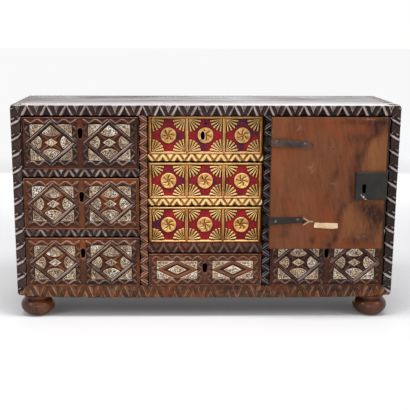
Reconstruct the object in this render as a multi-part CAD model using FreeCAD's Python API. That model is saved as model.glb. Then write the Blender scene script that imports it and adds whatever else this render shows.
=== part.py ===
"""Vargueno: a walnut table cabinet of ten drawers and one iron-strapped door on bun feet.

Everything is laid out in case coordinates: x across, y back from the front plane and
z up from the underside of the case.  place() moves a finished piece to the part's own
frame, which has its origin on the floor, under the middle of the bounding box.
"""
import FreeCAD, Part
import math
import os

Vec = FreeCAD.Vector

# Case
CASE_WIDTH = 1000.0
CASE_HEIGHT = 502.0
CASE_DEPTH = 345.0
BOARD = 25.0                # top, bottom and sides
BACK = 12.0                 # back board
MOULDING = 14.0             # thickness of the carved frame laid on the front edges
DIVIDER = (151.0, 172.0)    # inner and outer face of an upright, from the middle
RAIL = 18.0                 # height of a drawer rail
CARVING_DEPTH = 5.0
CARVING_MARGIN = 2.0        # plain wood left at the ends of a carved row
SIDE_RAIL_TOPS = (179.0, 337.5)
CENTRE_RAIL_TOP = 135.0
GILT_RAIL_TOPS = (254.5, 372.5)
GILT_RAIL = 17.0
GILT_RECESS = 35.0          # the gilt drawers stand back behind the closed door
SAG = 8.0                   # how far the lower moulding bows down between the feet

# Dovetails at the case corners
TAIL_COUNT = 5
TAIL_WIDTH = 34.0           # at the root
TAIL_FLARE = 5.0            # each side, over the thickness of the board

# Feet
FOOT_HEIGHT = 65.0
FOOT_INSET = (46.0, 50.0)   # centre of a foot, in from the side and from the front or back
BALL = (22.0, -39.5, 24.0, 25.5)    # middle of its round edge, then half axes out and up
BALL_END = 62.0             # degrees above the middle where the ball meets the neck
BALL_FACETS = 5
NECK = ((36.5, -11.5), (32.0, -5.0), (32.0, 0.0))    # bead and neck, up from the ball

# Drawers
SIDE_GAP = 1.0
TOP_GAP = 5.0
FLOOR_GAP = 0.4
FRONT_THICK = 20.0
FIELD_DEPTH = 5.5           # floor of the inlaid field, behind the front plane
PAD_DEPTH = 3.0             # carved border round a field
FILLET_DEPTH = 4.5          # plain edge of a drawer front
LINING = 9.0                # sides and back of a drawer box
BOX_BOTTOM = 6.0
BOX_BACK = 325.0            # how far back a drawer box reaches

# Lozenge panels of the dark drawers and of the door
PANEL_SHIFT = 74.6          # panel centres from the middle of a drawer
PANEL_RISE = (-2.0, 0.0, 2.5)    # and above it, bottom drawer first
FIELD = (109.5, 94.5)
LOZENGE = (134.0, 115.0)
LOZENGE_BAND = 8.5
LOZENGE_BEVEL = 3.0
BORDER = 13.0
SIDE_FAN = (17.0, 28.5)     # half the span of the straight sides, and from corner to arc
END_FAN = (23.5, 29.5)
FAN_CHORDS = 4
CENTRE_LOZENGE = (33.0, 21.0)
BONE = 2.0
BONE_GAP = 1.0
LOW_PANEL_SHIFT = 74.2
LOW_FIELD = (109.5, 50.5)
LOW_LOZENGE_BAND = 8.0
LOW_CENTRE_LOZENGE = (49.0, 25.0)

# Gilt panels
GILT_THICK = 18.0
GILT_PITCH = 97.0
GILT_FIELD = 86.5
GILT_FILLET = 7.5           # above and below a field
GILT_SINK = 4.5
FAN_RADIUS = 27.0
FAN_RIDGES = 5
FAN_RISE = 3.2
DISC_RADIUS = 21.5
DISC_SIDES = 16
DISC_RISE = 3.5
WHIRL_BLADES = 6

# Keyholes
KEY_ARCH = 5.5
KEY_LENGTH = 24.0
KEY_FOOT = 8.0
SIDE_KEY_RISE = (23.0, 18.5, 26.0)   # above the drawer's middle, bottom drawer first
LOW_KEY_RISE = 5.0
GILT_KEY = (-8.5, -2.0)

# Door, drawn as it stands open: turned half round on its pins, inner face to the front
PIVOT = (156.5, -10.0)
DOOR_EDGE = 8.5             # from the pin to the near edge of the leaf
DOOR_WIDTH = 297.5
DOOR_Z = (136.0, 476.0)
DOOR_Y = (-40.0, -20.0)     # inner face, outer face
DOOR_FIELD = (108.0, 128.0)
DOOR_LOZENGE = (126.0, 146.0)
DOOR_PANEL_SHIFT = (71.5, 80.0)
DOOR_KEY = (403.0, 297.0)

# Iron on the door
STRAP = 2.5
KNUCKLE_RADIUS = 5.5
PIN_RADIUS = 3.0
PIN_PLAY = 0.05
PIN_STANDS = 2.0            # the pin shows this much above the knuckle
KNUCKLE_HEIGHT = 20.0
SHOULDER_HEIGHT = 6.0
SHOULDER_GAP = 0.4
SHANK = (2.0, 25.0)         # half width, and its length from the pin
HINGE_Z = {"lower": 209.5, "upper": 414.0}
LOCK_X = (381.0, 462.0)
LOCK_Z = (268.0, 339.0)
LOCK_THICK = 12.0
LOCK_PLATE = 2.0
BOLT_X = (398.0, 461.0)
BOLT_Z = (308.0, 322.0)
BOLT_THICK = 6.0
BOLT_PLAY = 0.4
BOLT_THROW = 12.0
BOLT_NOTCH = (404.0, 414.0)    # where the bit of the key takes hold
NAIL_HEAD = (4.2, 2.2)
NAILS = ((178.0, 416.0), (212.0, 411.6), (250.0, 409.5), (180.4, 209.6), (236.0, 214.0))
LABEL = (70.0, 17.0, 0.5)
LABEL_AT = (312.0, 204.5)
LABEL_TURN = -4.0

FRONT_PROUD = LOCK_THICK - DOOR_Y[0]
FRONT_Y = -(CASE_DEPTH - FRONT_PROUD) / 2

INNER_X = CASE_WIDTH / 2 - BOARD
INNER_Z = (BOARD, CASE_HEIGHT - BOARD)
CARCASS_Y = (MOULDING, CASE_DEPTH - BACK)

# One chip of the zigzag carving: three corners and the deepest point, in periods and widths
UP_CHIP = (((-0.25, 0.10), (0.25, 0.10), (0.0, 0.72)), (0.0, 0.30))
DOWN_CHIP = (((0.22, 0.92), (0.78, 0.92), (0.5, 0.40)), (0.5, 0.75))


# ---------------------------------------------------------------- helpers

def place(shape):
    """The piece moved from case coordinates to the part's own frame."""
    return shape.translated(Vec(0, FRONT_Y, FOOT_HEIGHT))


def save(name, *solids):
    """Write one node, of one solid or of several separate ones."""
    shape = solids[0] if len(solids) == 1 else Part.makeCompound(list(solids))
    place(shape).exportStep("parts/%s.step" % name)


def block(x, y, z):
    """A board given by its limits along each axis."""
    return Part.makeBox(x[1] - x[0], y[1] - y[0], z[1] - z[0], Vec(x[0], y[0], z[0]))


def outline_face(points, y):
    """A flat face through (x, z) points at depth y."""
    corners = [Vec(x, y, z) for x, z in points]
    return Part.Face(Part.makePolygon(corners + corners[:1]))


def plate(points, y_low, y_high):
    """An outline of (x, z) points given its thickness."""
    return outline_face(points, y_low).extrude(Vec(0, y_high - y_low, 0))


def bar(points, z_low, z_high):
    """An outline of (x, y) points given its height."""
    corners = [Vec(x, y, z_low) for x, y in points]
    return Part.Face(Part.makePolygon(corners + corners[:1])).extrude(Vec(0, 0, z_high - z_low))


def post(radius, at, z_low, z_high):
    """A round upright pin or hole centred on (x, y)."""
    return Part.makeCylinder(radius, z_high - z_low, Vec(at[0], at[1], z_low))


def pyramid(corners, tip):
    """A solid on a flat polygon of corners, all of whose sides meet at the tip."""
    ring = corners + corners[:1]
    sides = [Part.Face(Part.makePolygon([a, b, tip, a])) for a, b in zip(ring, ring[1:])]
    return Part.makeSolid(Part.makeShell([Part.Face(Part.makePolygon(ring))] + sides))


def chip(corners, deepest, depth, surface):
    """The wood that three cuts of the knife lift out: a pyramid standing into the surface."""
    over = 0.5
    grow = (depth + over) / depth
    dx, dz = deepest
    rim = [Vec(dx + (x - dx) * grow, surface - over, dz + (z - dz) * grow) for x, z in corners]
    return pyramid(rim, Vec(dx, surface + depth, dz))


def zigzag(length, width, period, lean, at, surface=0.0, mitre=0.0):
    """Chips for a row of zigzag carving; at(u, v) turns lengths along and across into (x, z)."""
    count = max(1, int(round(length / period)))
    step = length / count
    chips = []
    for i in range(count + 1):
        for corners, deepest in (UP_CHIP, DOWN_CHIP):
            points = [((i + u + lean * (v - 0.5)) * step, v * width)
                      for u, v in corners + (deepest,)]
            ends = [CARVING_MARGIN + mitre * (1 - v / width) for u, v in points]
            if all(e <= u <= length - e for (u, v), e in zip(points, ends)):
                flat = [at(u, v) for u, v in points]
                chips.append(chip(flat[:3], flat[3], CARVING_DEPTH, surface))
    return chips


def along(x, z):
    """Placing rule for a row that runs to the right from (x, z)."""
    return lambda u, v: (x + u, z + v)


def upward(x, z, side=1):
    """Placing rule for a row that runs up from (x, z) and spreads to one side."""
    return lambda u, v: (x + side * v, z + u)


def carve(solid, chips):
    """The solid with all its chips lifted out."""
    return solid.cut(Part.makeCompound(chips))


def rhomb(x, z, width, height):
    """The four corners of an upright rhombus."""
    return [(x - width / 2, z), (x, z - height / 2), (x + width / 2, z), (x, z + height / 2)]


def rectangle(x, z, width, height):
    """The four corners of a rectangle about (x, z)."""
    w, h = width / 2, height / 2
    return [(x - w, z - h), (x + w, z - h), (x + w, z + h), (x - w, z + h)]


def side_distance(width, height):
    """How far the sides of a rhombus stand from its centre."""
    return width * height / 2 / math.hypot(width, height)


def keyhole(x, z, y_low, y_high):
    """The cutter for a keyhole: an arched top over sides that draw in toward the foot."""
    at = lambda dx, dz: Vec(x + dx, y_low, z + dz)
    half, foot, spring = KEY_LENGTH / 2, KEY_FOOT / 2, KEY_LENGTH / 2 - KEY_ARCH
    edges = [Part.makeLine(at(-foot, -half), at(foot, -half)),
             Part.makeLine(at(foot, -half), at(KEY_ARCH, spring)),
             Part.Arc(at(KEY_ARCH, spring), at(0, half), at(-KEY_ARCH, spring)).toShape(),
             Part.makeLine(at(-KEY_ARCH, spring), at(-foot, -half))]
    return Part.Face(Part.Wire(edges)).extrude(Vec(0, y_high - y_low, 0))


# ---------------------------------------------------------------- case

def tails(x, z_root, z_tip):
    """The dovetails at one end of a side board, flared toward the tip."""
    pitch = (CARCASS_Y[1] - CARCASS_Y[0]) / TAIL_COUNT
    shapes = []
    for i in range(TAIL_COUNT):
        middle = CARCASS_Y[0] + (i + 0.5) * pitch
        root, tip = TAIL_WIDTH / 2, TAIL_WIDTH / 2 + TAIL_FLARE
        corners = [Vec(x[0], middle - root, z_root), Vec(x[0], middle + root, z_root),
                   Vec(x[0], middle + tip, z_tip), Vec(x[0], middle - tip, z_tip)]
        face = Part.Face(Part.makePolygon(corners + corners[:1]))
        shapes.append(face.extrude(Vec(x[1] - x[0], 0, 0)))
    return shapes


def foot_centres():
    """Where the four feet stand, as (x, y)."""
    x = CASE_WIDTH / 2 - FOOT_INSET[0]
    return [(sx * x, y) for y in (FOOT_INSET[1], CASE_DEPTH - FOOT_INSET[1]) for sx in (-1, 1)]


def case():
    """Top, bottom and sides dovetailed together, and the nailed back."""
    half = CASE_WIDTH / 2
    sides = {"left": (-half, -INNER_X), "right": (INNER_X, half)}
    top_tails, bottom_tails = [], []
    for name, x in sides.items():
        up = tails(x, INNER_Z[1], CASE_HEIGHT)
        down = tails(x, INNER_Z[0], 0.0)
        top_tails += up
        bottom_tails += down
        save("case_side_" + name, block(x, CARCASS_Y, INNER_Z).multiFuse(up + down).removeSplitter())
    top = block((-half, half), CARCASS_Y, (INNER_Z[1], CASE_HEIGHT))
    bottom = block((-half, half), CARCASS_Y, (0.0, INNER_Z[0]))
    save("case_top", top.cut(Part.makeCompound(top_tails)))
    save("case_bottom", bottom.cut(Part.makeCompound(bottom_tails)))
    save("case_back", block((-half, half), (CARCASS_Y[1], CASE_DEPTH), (0.0, CASE_HEIGHT)))


def bowed_edge(half):
    """Lower edge of the bottom strip, which has sagged between the feet."""
    steps = (-1, -0.94, -0.84, -0.6, 0, 0.6, 0.84, 0.94, 1)
    return [(t * half, -SAG * (1 - t ** 6)) for t in steps]


def frame_moulding():
    """Four carved strips, mitred at the corners, on the front edges of the case."""
    half, high = CASE_WIDTH / 2, CASE_HEIGHT
    inner, low, top = INNER_X, INNER_Z[0], INNER_Z[1]
    strips = {
        "top": ([(-inner, top), (inner, top), (half, high), (-half, high)],
                zigzag(CASE_WIDTH, BOARD, 46.5, 0.0, along(-half, top), mitre=BOARD)),
        "bottom": (bowed_edge(half) + [(inner, low), (-inner, low)],
                   zigzag(CASE_WIDTH, BOARD, 46.5, 0.0,
                          lambda u, v: (u - half, low - v), mitre=BOARD)),
        "left": ([(-half, 0), (-inner, low), (-inner, top), (-half, high)],
                 zigzag(high, BOARD, 37.0, 0.6, upward(-inner, 0, -1), mitre=BOARD)),
        "right": ([(half, 0), (half, high), (inner, top), (inner, low)],
                  zigzag(high, BOARD, 37.0, 0.6, upward(inner, 0, 1), mitre=BOARD)),
    }
    for name, (corners, chips) in strips.items():
        save("frame_moulding_" + name, carve(plate(corners, 0.0, MOULDING), chips))


def shoulder_span(z):
    """Low and high z of the pintle shoulder that carries the knuckle at height z."""
    high = z - KNUCKLE_HEIGHT / 2 - SHOULDER_GAP
    return high - SHOULDER_HEIGHT, high


def hinge_shanks():
    """The square shanks of the pintles, driven into the right upright."""
    half, deep = SHANK
    return [block((PIVOT[0] - half, PIVOT[0] + half), (PIVOT[1], PIVOT[1] + deep), shoulder_span(z))
            for z in HINGE_Z.values()]


def bolt_mortise():
    """The pocket in the left upright that takes the bolt of the closed door."""
    y = [2 * PIVOT[1] - v for v in bolt_depth()]
    return block((-DIVIDER[0] - BOLT_THROW - 2, -DIVIDER[0] + 1), (min(y) - 1, max(y) + 1),
                 (BOLT_Z[0] - 1, BOLT_Z[1] + 1))


def dividers():
    """The two uprights, carved on their front edges."""
    width = DIVIDER[1] - DIVIDER[0]
    for name, x, cutters in (("left", -DIVIDER[1], [bolt_mortise()]),
                             ("right", DIVIDER[0], hinge_shanks())):
        board = block((x, x + width), (0.0, CARCASS_Y[1]), INNER_Z)
        length = INNER_Z[1] - INNER_Z[0]
        chips = zigzag(length, width, 38.0, 0.0, upward(x, INNER_Z[0]))
        save("divider_" + name, carve(board, chips).cut(Part.makeCompound(cutters)))


def shelf(name, x, top, thick, front, period):
    """A drawer rail and runner board in one, carved on its front edge."""
    board = block(x, (front, CARCASS_Y[1]), (top - thick, top))
    chips = zigzag(x[1] - x[0], thick, period, 0.0, along(x[0], top - thick), surface=front)
    save(name, carve(board, chips))


def shelves():
    """Seven shelves: two in each side column, one under the door and two between gilt drawers."""
    columns = {"left": (-INNER_X, -DIVIDER[1]), "right": (DIVIDER[1], INNER_X)}
    for side, x in columns.items():
        for level, top in zip(("lower", "upper"), SIDE_RAIL_TOPS):
            shelf("shelf_%s_%s" % (side, level), x, top, RAIL, 0.0, 40.0)
    centre = (-DIVIDER[0], DIVIDER[0])
    shelf("shelf_centre", centre, CENTRE_RAIL_TOP, RAIL, 0.0, 40.0)
    for level, top in zip(("lower", "upper"), GILT_RAIL_TOPS):
        shelf("shelf_gilt_" + level, centre, top, GILT_RAIL, GILT_RECESS, 35.0)


def feet():
    """Turned bun feet: a squashed ball, a bead and a short neck glued under the case."""
    out, middle, wide, high = BALL
    turns = [math.radians(-90 + (BALL_END + 90) * i / BALL_FACETS) for i in range(BALL_FACETS + 1)]
    round_edge = [(out + wide * math.cos(t), middle + high * math.sin(t)) for t in turns]
    profile = [(0.0, -FOOT_HEIGHT)] + round_edge + list(NECK) + [(0.0, 0.0)]
    corners = [Vec(r, 0, z) for r, z in profile]
    face = Part.Face(Part.makePolygon(corners + corners[:1]))
    foot = face.revolve(Vec(0, 0, 0), Vec(0, 0, 1), 360)
    save("bun_feet", *[foot.translated(Vec(x, y, 0)) for x, y in foot_centres()])


# ---------------------------------------------------------------- drawers

def fan(corner, point, size, spread):
    """A bone plaque with two straight sides that meet at a corner, closed by an arc.

    point is the direction from the corner to the arc, spread the length of the straight
    sides along it; size holds half their distance across it and the reach of the arc.
    """
    half, reach_out = size
    rise = reach_out - spread
    radius = (half * half + rise * rise) / (2 * rise)
    reach = math.asin(half / radius)
    outline = [corner]
    for i in range(FAN_CHORDS + 1):
        angle = reach * (2 * i / FAN_CHORDS - 1)
        ahead = reach_out - radius + radius * math.cos(angle)
        across = radius * math.sin(angle)
        outline.append((corner[0] + point[0] * ahead - point[1] * across,
                        corner[1] + point[1] * ahead + point[0] * across))
    return plate(outline, FIELD_DEPTH - BONE, FIELD_DEPTH)


def corner_plaques(x, z, field, lozenge, gap):
    """Four triangles of bone in the corners of a field, clear of the lozenge."""
    reach = 1 + gap / side_distance(*lozenge)
    w, h = field[0] / 2 - BONE_GAP, field[1] / 2 - BONE_GAP
    cut_x = lozenge[0] / 2 * (reach - 2 * h / lozenge[1])
    cut_z = lozenge[1] / 2 * (reach - 2 * w / lozenge[0])
    return [plate([(x + sx * w, z + sz * h), (x + sx * cut_x, z + sz * h), (x + sx * w, z + sz * cut_z)],
                  FIELD_DEPTH - BONE, FIELD_DEPTH) for sx in (-1, 1) for sz in (-1, 1)]


def lozenge_band(x, z, size, band, bevel, crest):
    """The raised rhombus: a frame with sloping sides that stands on the field."""
    distance = side_distance(*size)
    rings = []
    for inset, y in ((0.0, FIELD_DEPTH), (bevel, crest)):
        outer = 1 - inset / distance
        inner = 1 - (band - inset) / distance
        rings.append([rhomb(x, z, size[0] * f, size[1] * f) for f in (outer, inner)] + [y])
    wires = []
    for part in (0, 1):
        wires.append([outline_face(ring[part], ring[2]).OuterWire for ring in rings])
    solid, hollow = [Part.makeLoft(pair, True, True) for pair in wires]
    return solid.cut(hollow)


def tall_panel(x, z, field, lozenge):
    """One panel with a raised lozenge: its band, and the nine plaques laid round it."""
    band = lozenge_band(x, z, lozenge, LOZENGE_BAND, LOZENGE_BEVEL, 0.0)
    inside = 1 - (LOZENGE_BAND + BONE_GAP) / side_distance(*lozenge)
    a, b = lozenge[0] / 2 * inside, lozenge[1] / 2 * inside
    plaques = corner_plaques(x, z, field, lozenge, 2 * BONE_GAP)
    plaques.append(plate(rhomb(x, z, *CENTRE_LOZENGE), FIELD_DEPTH - BONE, FIELD_DEPTH))
    for s in (-1, 1):
        plaques.append(fan((x + s * a, z), (-s, 0), SIDE_FAN, SIDE_FAN[0] * a / b))
        plaques.append(fan((x, z + s * b), (0, -s), END_FAN, END_FAN[0] * b / a))
    return band, plaques


def low_panel(x, z):
    """One panel of the low drawer: a flat lozenge band and five plaques."""
    band = lozenge_band(x, z, LOW_FIELD, LOW_LOZENGE_BAND, 1.0, PAD_DEPTH)
    plaques = corner_plaques(x, z, LOW_FIELD, LOW_FIELD, BONE_GAP)
    plaques.append(plate(rhomb(x, z, *LOW_CENTRE_LOZENGE), FIELD_DEPTH - BONE, FIELD_DEPTH))
    return band, plaques


def inlaid_slab(x, z, y_back, panels, field):
    """A walnut face with raised borders, sunk fields and lozenge bands; also its plaques.

    panels holds one (middle x, middle z, band, plaques) per panel.
    """
    slab = block(x, (FILLET_DEPTH, y_back), z)
    pads, fields, bands, plaques = [], [], [], []
    for px, pz, band, bone in panels:
        pads.append(plate(rectangle(px, pz, field[0] + 2 * BORDER, field[1] + 2 * BORDER),
                          PAD_DEPTH, FILLET_DEPTH + 1))
        fields.append(plate(rectangle(px, pz, *field), PAD_DEPTH - 1, FIELD_DEPTH))
        bands.append(band)
        plaques += bone
    slab = slab.multiFuse(pads).cut(Part.makeCompound(fields)).multiFuse(bands)
    return slab.removeSplitter(), plaques


def drawer_box(name, x, z, y_front):
    """Two sides, a back and a bottom board behind a drawer front, open on top."""
    y = (y_front, BOX_BACK)
    x = (x[0] + 1.0, x[1] - 1.0)
    high = z[1] - 8.0
    floor = z[0] + BOX_BOTTOM
    save(name + "_box",
         block((x[0], x[0] + LINING), y, (floor, high)),
         block((x[1] - LINING, x[1]), y, (floor, high)),
         block((x[0] + LINING, x[1] - LINING), (y[1] - LINING, y[1]), (floor, high)),
         block(x, y, (z[0], floor)))


def fitted(x, z):
    """The size of a drawer front in its opening, with its running gaps."""
    return (x[0] + SIDE_GAP, x[1] - SIDE_GAP), (z[0] + FLOOR_GAP, z[1] - TOP_GAP)


def side_drawers():
    """Three lozenge drawers in each side column."""
    tops = (INNER_Z[0],) + SIDE_RAIL_TOPS
    ceilings = [top - RAIL for top in SIDE_RAIL_TOPS] + [INNER_Z[1]]
    for side, limits in (("left", (-INNER_X, -DIVIDER[1])), ("right", (DIVIDER[1], INNER_X))):
        for i, level in enumerate(("bottom", "middle", "top")):
            x, z = fitted(limits, (tops[i], ceilings[i]))
            cx, cz = sum(x) / 2, sum(z) / 2
            rise = SIDE_KEY_RISE[i]
            panels = []
            for s in (-1, 1):
                at = (cx + s * PANEL_SHIFT, cz + PANEL_RISE[i])
                panels.append(at + tall_panel(at[0], at[1], FIELD, LOZENGE))
            slab, plaques = inlaid_slab(x, z, FRONT_THICK, panels, FIELD)
            name = "drawer_%s_%s" % (side, level)
            save(name + "_front", slab.cut(keyhole(cx, cz + rise, -1.0, FRONT_THICK + 1)))
            save(name + "_inlay", *plaques)
            drawer_box(name, x, z, FRONT_THICK)


def low_drawer():
    """The low drawer under the door."""
    x, z = fitted((-DIVIDER[0], DIVIDER[0]), (INNER_Z[0], CENTRE_RAIL_TOP - RAIL))
    cz = sum(z) / 2
    panels = [(s * LOW_PANEL_SHIFT, cz) + low_panel(s * LOW_PANEL_SHIFT, cz) for s in (-1, 1)]
    slab, plaques = inlaid_slab(x, z, FRONT_THICK, panels, LOW_FIELD)
    save("drawer_centre_low_front", slab.cut(keyhole(0.0, cz + LOW_KEY_RISE, -1.0, FRONT_THICK + 1)))
    save("drawer_centre_low_inlay", *plaques)
    drawer_box("drawer_centre_low", x, z, FRONT_THICK)


def fluted_fan(corner, sx, sz, floor):
    """A quarter shell in a panel corner: ridges that rise from the corner to the rim."""
    x, z = corner
    step = math.pi / 2 / FAN_RIDGES
    rim = lambda angle, r: (x + sx * r * math.cos(angle), z + sz * r * math.sin(angle))
    ridges = []
    for i in range(FAN_RIDGES):
        a, b = rim(i * step, FAN_RADIUS), rim((i + 1) * step, FAN_RADIUS)
        base = [Vec(x, floor, z), Vec(a[0], floor, a[1]), Vec(b[0], floor, b[1])]
        crown = rim((i + 0.5) * step, FAN_RADIUS * 0.93)
        ridges.append(pyramid(base, Vec(crown[0], floor - FAN_RISE, crown[1])))
    return ridges


def whirl(x, z, floor):
    """The gilt disc of a panel, cut with six turning blades."""
    sides = [2 * math.pi * i / DISC_SIDES for i in range(DISC_SIDES)]
    disc = plate([(x + DISC_RADIUS * math.cos(a), z + DISC_RADIUS * math.sin(a)) for a in sides],
                 floor - DISC_RISE, floor + 0.5)
    chips = []
    for i in range(WHIRL_BLADES):
        turn = 2 * math.pi * i / WHIRL_BLADES
        at = lambda r, a: (x + DISC_RADIUS * r * math.cos(turn + a), z + DISC_RADIUS * r * math.sin(turn + a))
        chips.append(chip([at(0.12, 0.0), at(0.86, -0.30), at(0.90, 0.42)], at(0.66, 0.28),
                          DISC_RISE * 0.7, floor - DISC_RISE))
    return carve(disc, chips)


def gilt_drawers():
    """Three drawers with three gilt panels each, behind the door."""
    lows = (CENTRE_RAIL_TOP,) + GILT_RAIL_TOPS
    highs = [top - GILT_RAIL for top in GILT_RAIL_TOPS] + [INNER_Z[1]]
    floor = GILT_RECESS + GILT_SINK
    for level, low, high in zip(("bottom", "middle", "top"), lows, highs):
        x, z = fitted((-DIVIDER[0], DIVIDER[0]), (low, high))
        y_back = GILT_RECESS + GILT_THICK
        slab = block(x, (GILT_RECESS, y_back), z)
        size = (GILT_FIELD, z[1] - z[0] - 2 * GILT_FILLET)
        cz = sum(z) / 2
        middles = [i * GILT_PITCH for i in (-1, 0, 1)]
        slab = slab.cut(Part.makeCompound(
            [plate(rectangle(cx, cz, *size), GILT_RECESS - 1, floor) for cx in middles]))
        relief = [whirl(cx, cz, floor) for cx in middles]
        for cx in middles:
            for sx in (-1, 1):
                for sz in (-1, 1):
                    corner = (cx - sx * size[0] / 2, cz - sz * size[1] / 2)
                    relief += fluted_fan(corner, sx, sz, floor)
        slab = slab.multiFuse(relief)
        if level == "top":
            slab = slab.cut(keyhole(GILT_KEY[0], cz + GILT_KEY[1], GILT_RECESS - 1, y_back + 1))
        name = "drawer_gilt_" + level
        save(name + "_front", slab)
        drawer_box(name, x, z, y_back)


# ---------------------------------------------------------------- door and its iron

def half_turn(shape):
    """The shape carried from the shut to the open position of the door."""
    return shape.rotated(Vec(PIVOT[0], PIVOT[1], 0), Vec(0, 0, 1), 180)


def door_leaf():
    """The leaf, inlaid on its outer face like the drawers, drawn shut and then swung open."""
    high = PIVOT[0] - DOOR_EDGE
    x = (high - DOOR_WIDTH, high)
    cx, cz = sum(x) / 2, sum(DOOR_Z) / 2
    panels = []
    for sx in (-1, 1):
        for sz in (-1, 1):
            at = (cx + sx * DOOR_PANEL_SHIFT[0], cz + sz * DOOR_PANEL_SHIFT[1])
            panels.append(at + tall_panel(at[0], at[1], DOOR_FIELD, DOOR_LOZENGE))
    slab, plaques = inlaid_slab(x, DOOR_Z, DOOR_Y[1] - DOOR_Y[0], panels, DOOR_FIELD)
    key = keyhole(DOOR_KEY[0], DOOR_KEY[1], DOOR_Y[0] - 1, DOOR_Y[1] + 1)
    save("door_leaf", half_turn(slab).cut(key))
    save("door_inlay", *[half_turn(p) for p in plaques])


def bolt_depth():
    """Front and back of the bolt of the open door."""
    middle = DOOR_Y[0] - LOCK_THICK / 2
    return middle - BOLT_THICK / 2, middle + BOLT_THICK / 2


def lock():
    """The iron box lock on the inner face, and the bolt that slides out at its free end."""
    y = (DOOR_Y[0] - LOCK_THICK, DOOR_Y[0])
    case_block = block(LOCK_X, y, LOCK_Z)
    rim = [e for e in case_block.Edges if all(abs(v.Y - y[0]) < 0.01 for v in e.Vertexes)]
    case_block = case_block.makeChamfer(LOCK_PLATE, rim)
    depth = bolt_depth()
    play = BOLT_PLAY
    channel = block((BOLT_X[0] - play, LOCK_X[1] + 1), (depth[0] - play, depth[1] + play),
                    (BOLT_Z[0] - play, BOLT_Z[1] + play))
    key = keyhole(DOOR_KEY[0], DOOR_KEY[1], y[0] - 1, y[1] + 1)
    save("door_lock_case", case_block.cut(channel).cut(key))
    bolt = block(BOLT_X, depth, BOLT_Z)
    nose = [e for e in bolt.Edges if all(abs(v.X - BOLT_X[1]) < 0.01 for v in e.Vertexes)]
    notch = block(BOLT_NOTCH, (depth[0] - 1, depth[1] + 1), (BOLT_Z[0] - 1, BOLT_Z[0] + 4))
    save("door_lock_bolt", bolt.makeChamfer(1.0, nose).cut(notch))


def pintles():
    """L-shaped iron pintles: a shank driven into the right upright, a shoulder and a pin."""
    half = KNUCKLE_HEIGHT / 2
    irons = []
    for z, shank in zip(HINGE_Z.values(), hinge_shanks()):
        shoulder = post(KNUCKLE_RADIUS, PIVOT, *shoulder_span(z))
        pin = post(PIN_RADIUS, PIVOT, shoulder_span(z)[0], z + half + PIN_STANDS)
        irons.append(shank.multiFuse([shoulder, pin]).removeSplitter())
    save("hinge_pintles", *irons)


def strap(name, z, outline):
    """A forged strap: knuckle on the pin, crank round the edge of the leaf, tongue on its face."""
    px, py = PIVOT
    edge = px + DOOR_EDGE
    half = KNUCKLE_HEIGHT / 2
    face = DOOR_Y[0]
    knuckle = post(KNUCKLE_RADIUS, PIVOT, z - half, z + half)
    link = bar([(edge, py - 10), (edge - STRAP, py - 10), (px + 0.5, py - 5), (px + 5.2, py - 1)],
               z - half, z + half)
    crank = block((edge - STRAP, edge), (face - STRAP, py - 10), (z - half, z + half))
    tongue = plate(outline, face - STRAP, face)
    hinge = knuckle.multiFuse([link, crank, tongue])
    hinge = hinge.cut(post(PIN_RADIUS + PIN_PLAY, PIVOT, z - half - 1, z + half + 1))
    save(name, hinge.removeSplitter())


def straps():
    """The long upper strap with its leaf-shaped end, and the lower one, broken off short."""
    near = PIVOT[0] + DOOR_EDGE - STRAP
    low, high = HINGE_Z["lower"], HINGE_Z["upper"]
    strap("door_strap_upper", high,
          [(near, high - 10), (205, 402), (214, 400), (224, 402), (242, 399), (257, 400.5),
           (272, 407.5), (257, 416), (242, 418.5), (224, 419), (205, 423), (near, high + 10)])
    strap("door_strap_lower", low,
          [(near, low - 10), (200, 203), (247, 207), (249, 214), (247, 221.5), (200, 220),
           (near, low + 10)])


def nails():
    """Rose-headed nails through the straps, each head forged to four facets."""
    radius, rise = NAIL_HEAD
    top = DOOR_Y[0] - STRAP
    heads = []
    for x, z in NAILS:
        base = [Vec(px, top, pz) for px, pz in rectangle(x, z, radius * 1.6, radius * 1.6)]
        heads.append(pyramid(base, Vec(x, top - rise, z)))
    save("door_nails", *heads)


def label():
    """The blank paper slip pasted under the middle of the leaf."""
    width, height, thick = LABEL
    x, z = LABEL_AT
    w, h = width / 2, height / 2
    slip = plate([(x - w, z - h + 3), (x - w + 4, z - h), (x + w, z - h + 1), (x + w, z + h - 1),
                  (x - w + 3, z + h), (x - w - 1, z + 2)], DOOR_Y[0] - thick, DOOR_Y[0])
    save("door_label", slip.rotated(Vec(x, 0, z), Vec(0, 1, 0), -LABEL_TURN))


os.makedirs("parts", exist_ok=True)
case()
frame_moulding()
dividers()
shelves()
feet()
side_drawers()
low_drawer()
gilt_drawers()
door_leaf()
lock()
pintles()
straps()
nails()
label()
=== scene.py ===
import math
import bpy
import numpy as np
from mathutils import Matrix, Vector


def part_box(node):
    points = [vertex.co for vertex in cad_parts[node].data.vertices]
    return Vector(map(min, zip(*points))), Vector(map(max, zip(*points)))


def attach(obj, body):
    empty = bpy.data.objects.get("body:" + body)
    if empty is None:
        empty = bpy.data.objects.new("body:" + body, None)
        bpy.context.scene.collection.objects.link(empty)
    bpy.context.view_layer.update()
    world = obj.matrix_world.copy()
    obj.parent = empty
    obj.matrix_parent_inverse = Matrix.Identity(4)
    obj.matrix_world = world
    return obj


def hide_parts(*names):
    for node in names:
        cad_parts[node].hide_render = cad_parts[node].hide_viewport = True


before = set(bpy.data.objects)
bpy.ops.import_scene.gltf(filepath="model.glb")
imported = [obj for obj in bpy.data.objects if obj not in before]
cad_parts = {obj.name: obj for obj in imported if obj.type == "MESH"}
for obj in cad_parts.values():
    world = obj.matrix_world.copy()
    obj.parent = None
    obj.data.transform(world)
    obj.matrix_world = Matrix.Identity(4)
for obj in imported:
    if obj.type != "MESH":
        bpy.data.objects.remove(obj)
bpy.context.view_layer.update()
print("frame loaded:", len(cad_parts), "nodes")

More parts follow.
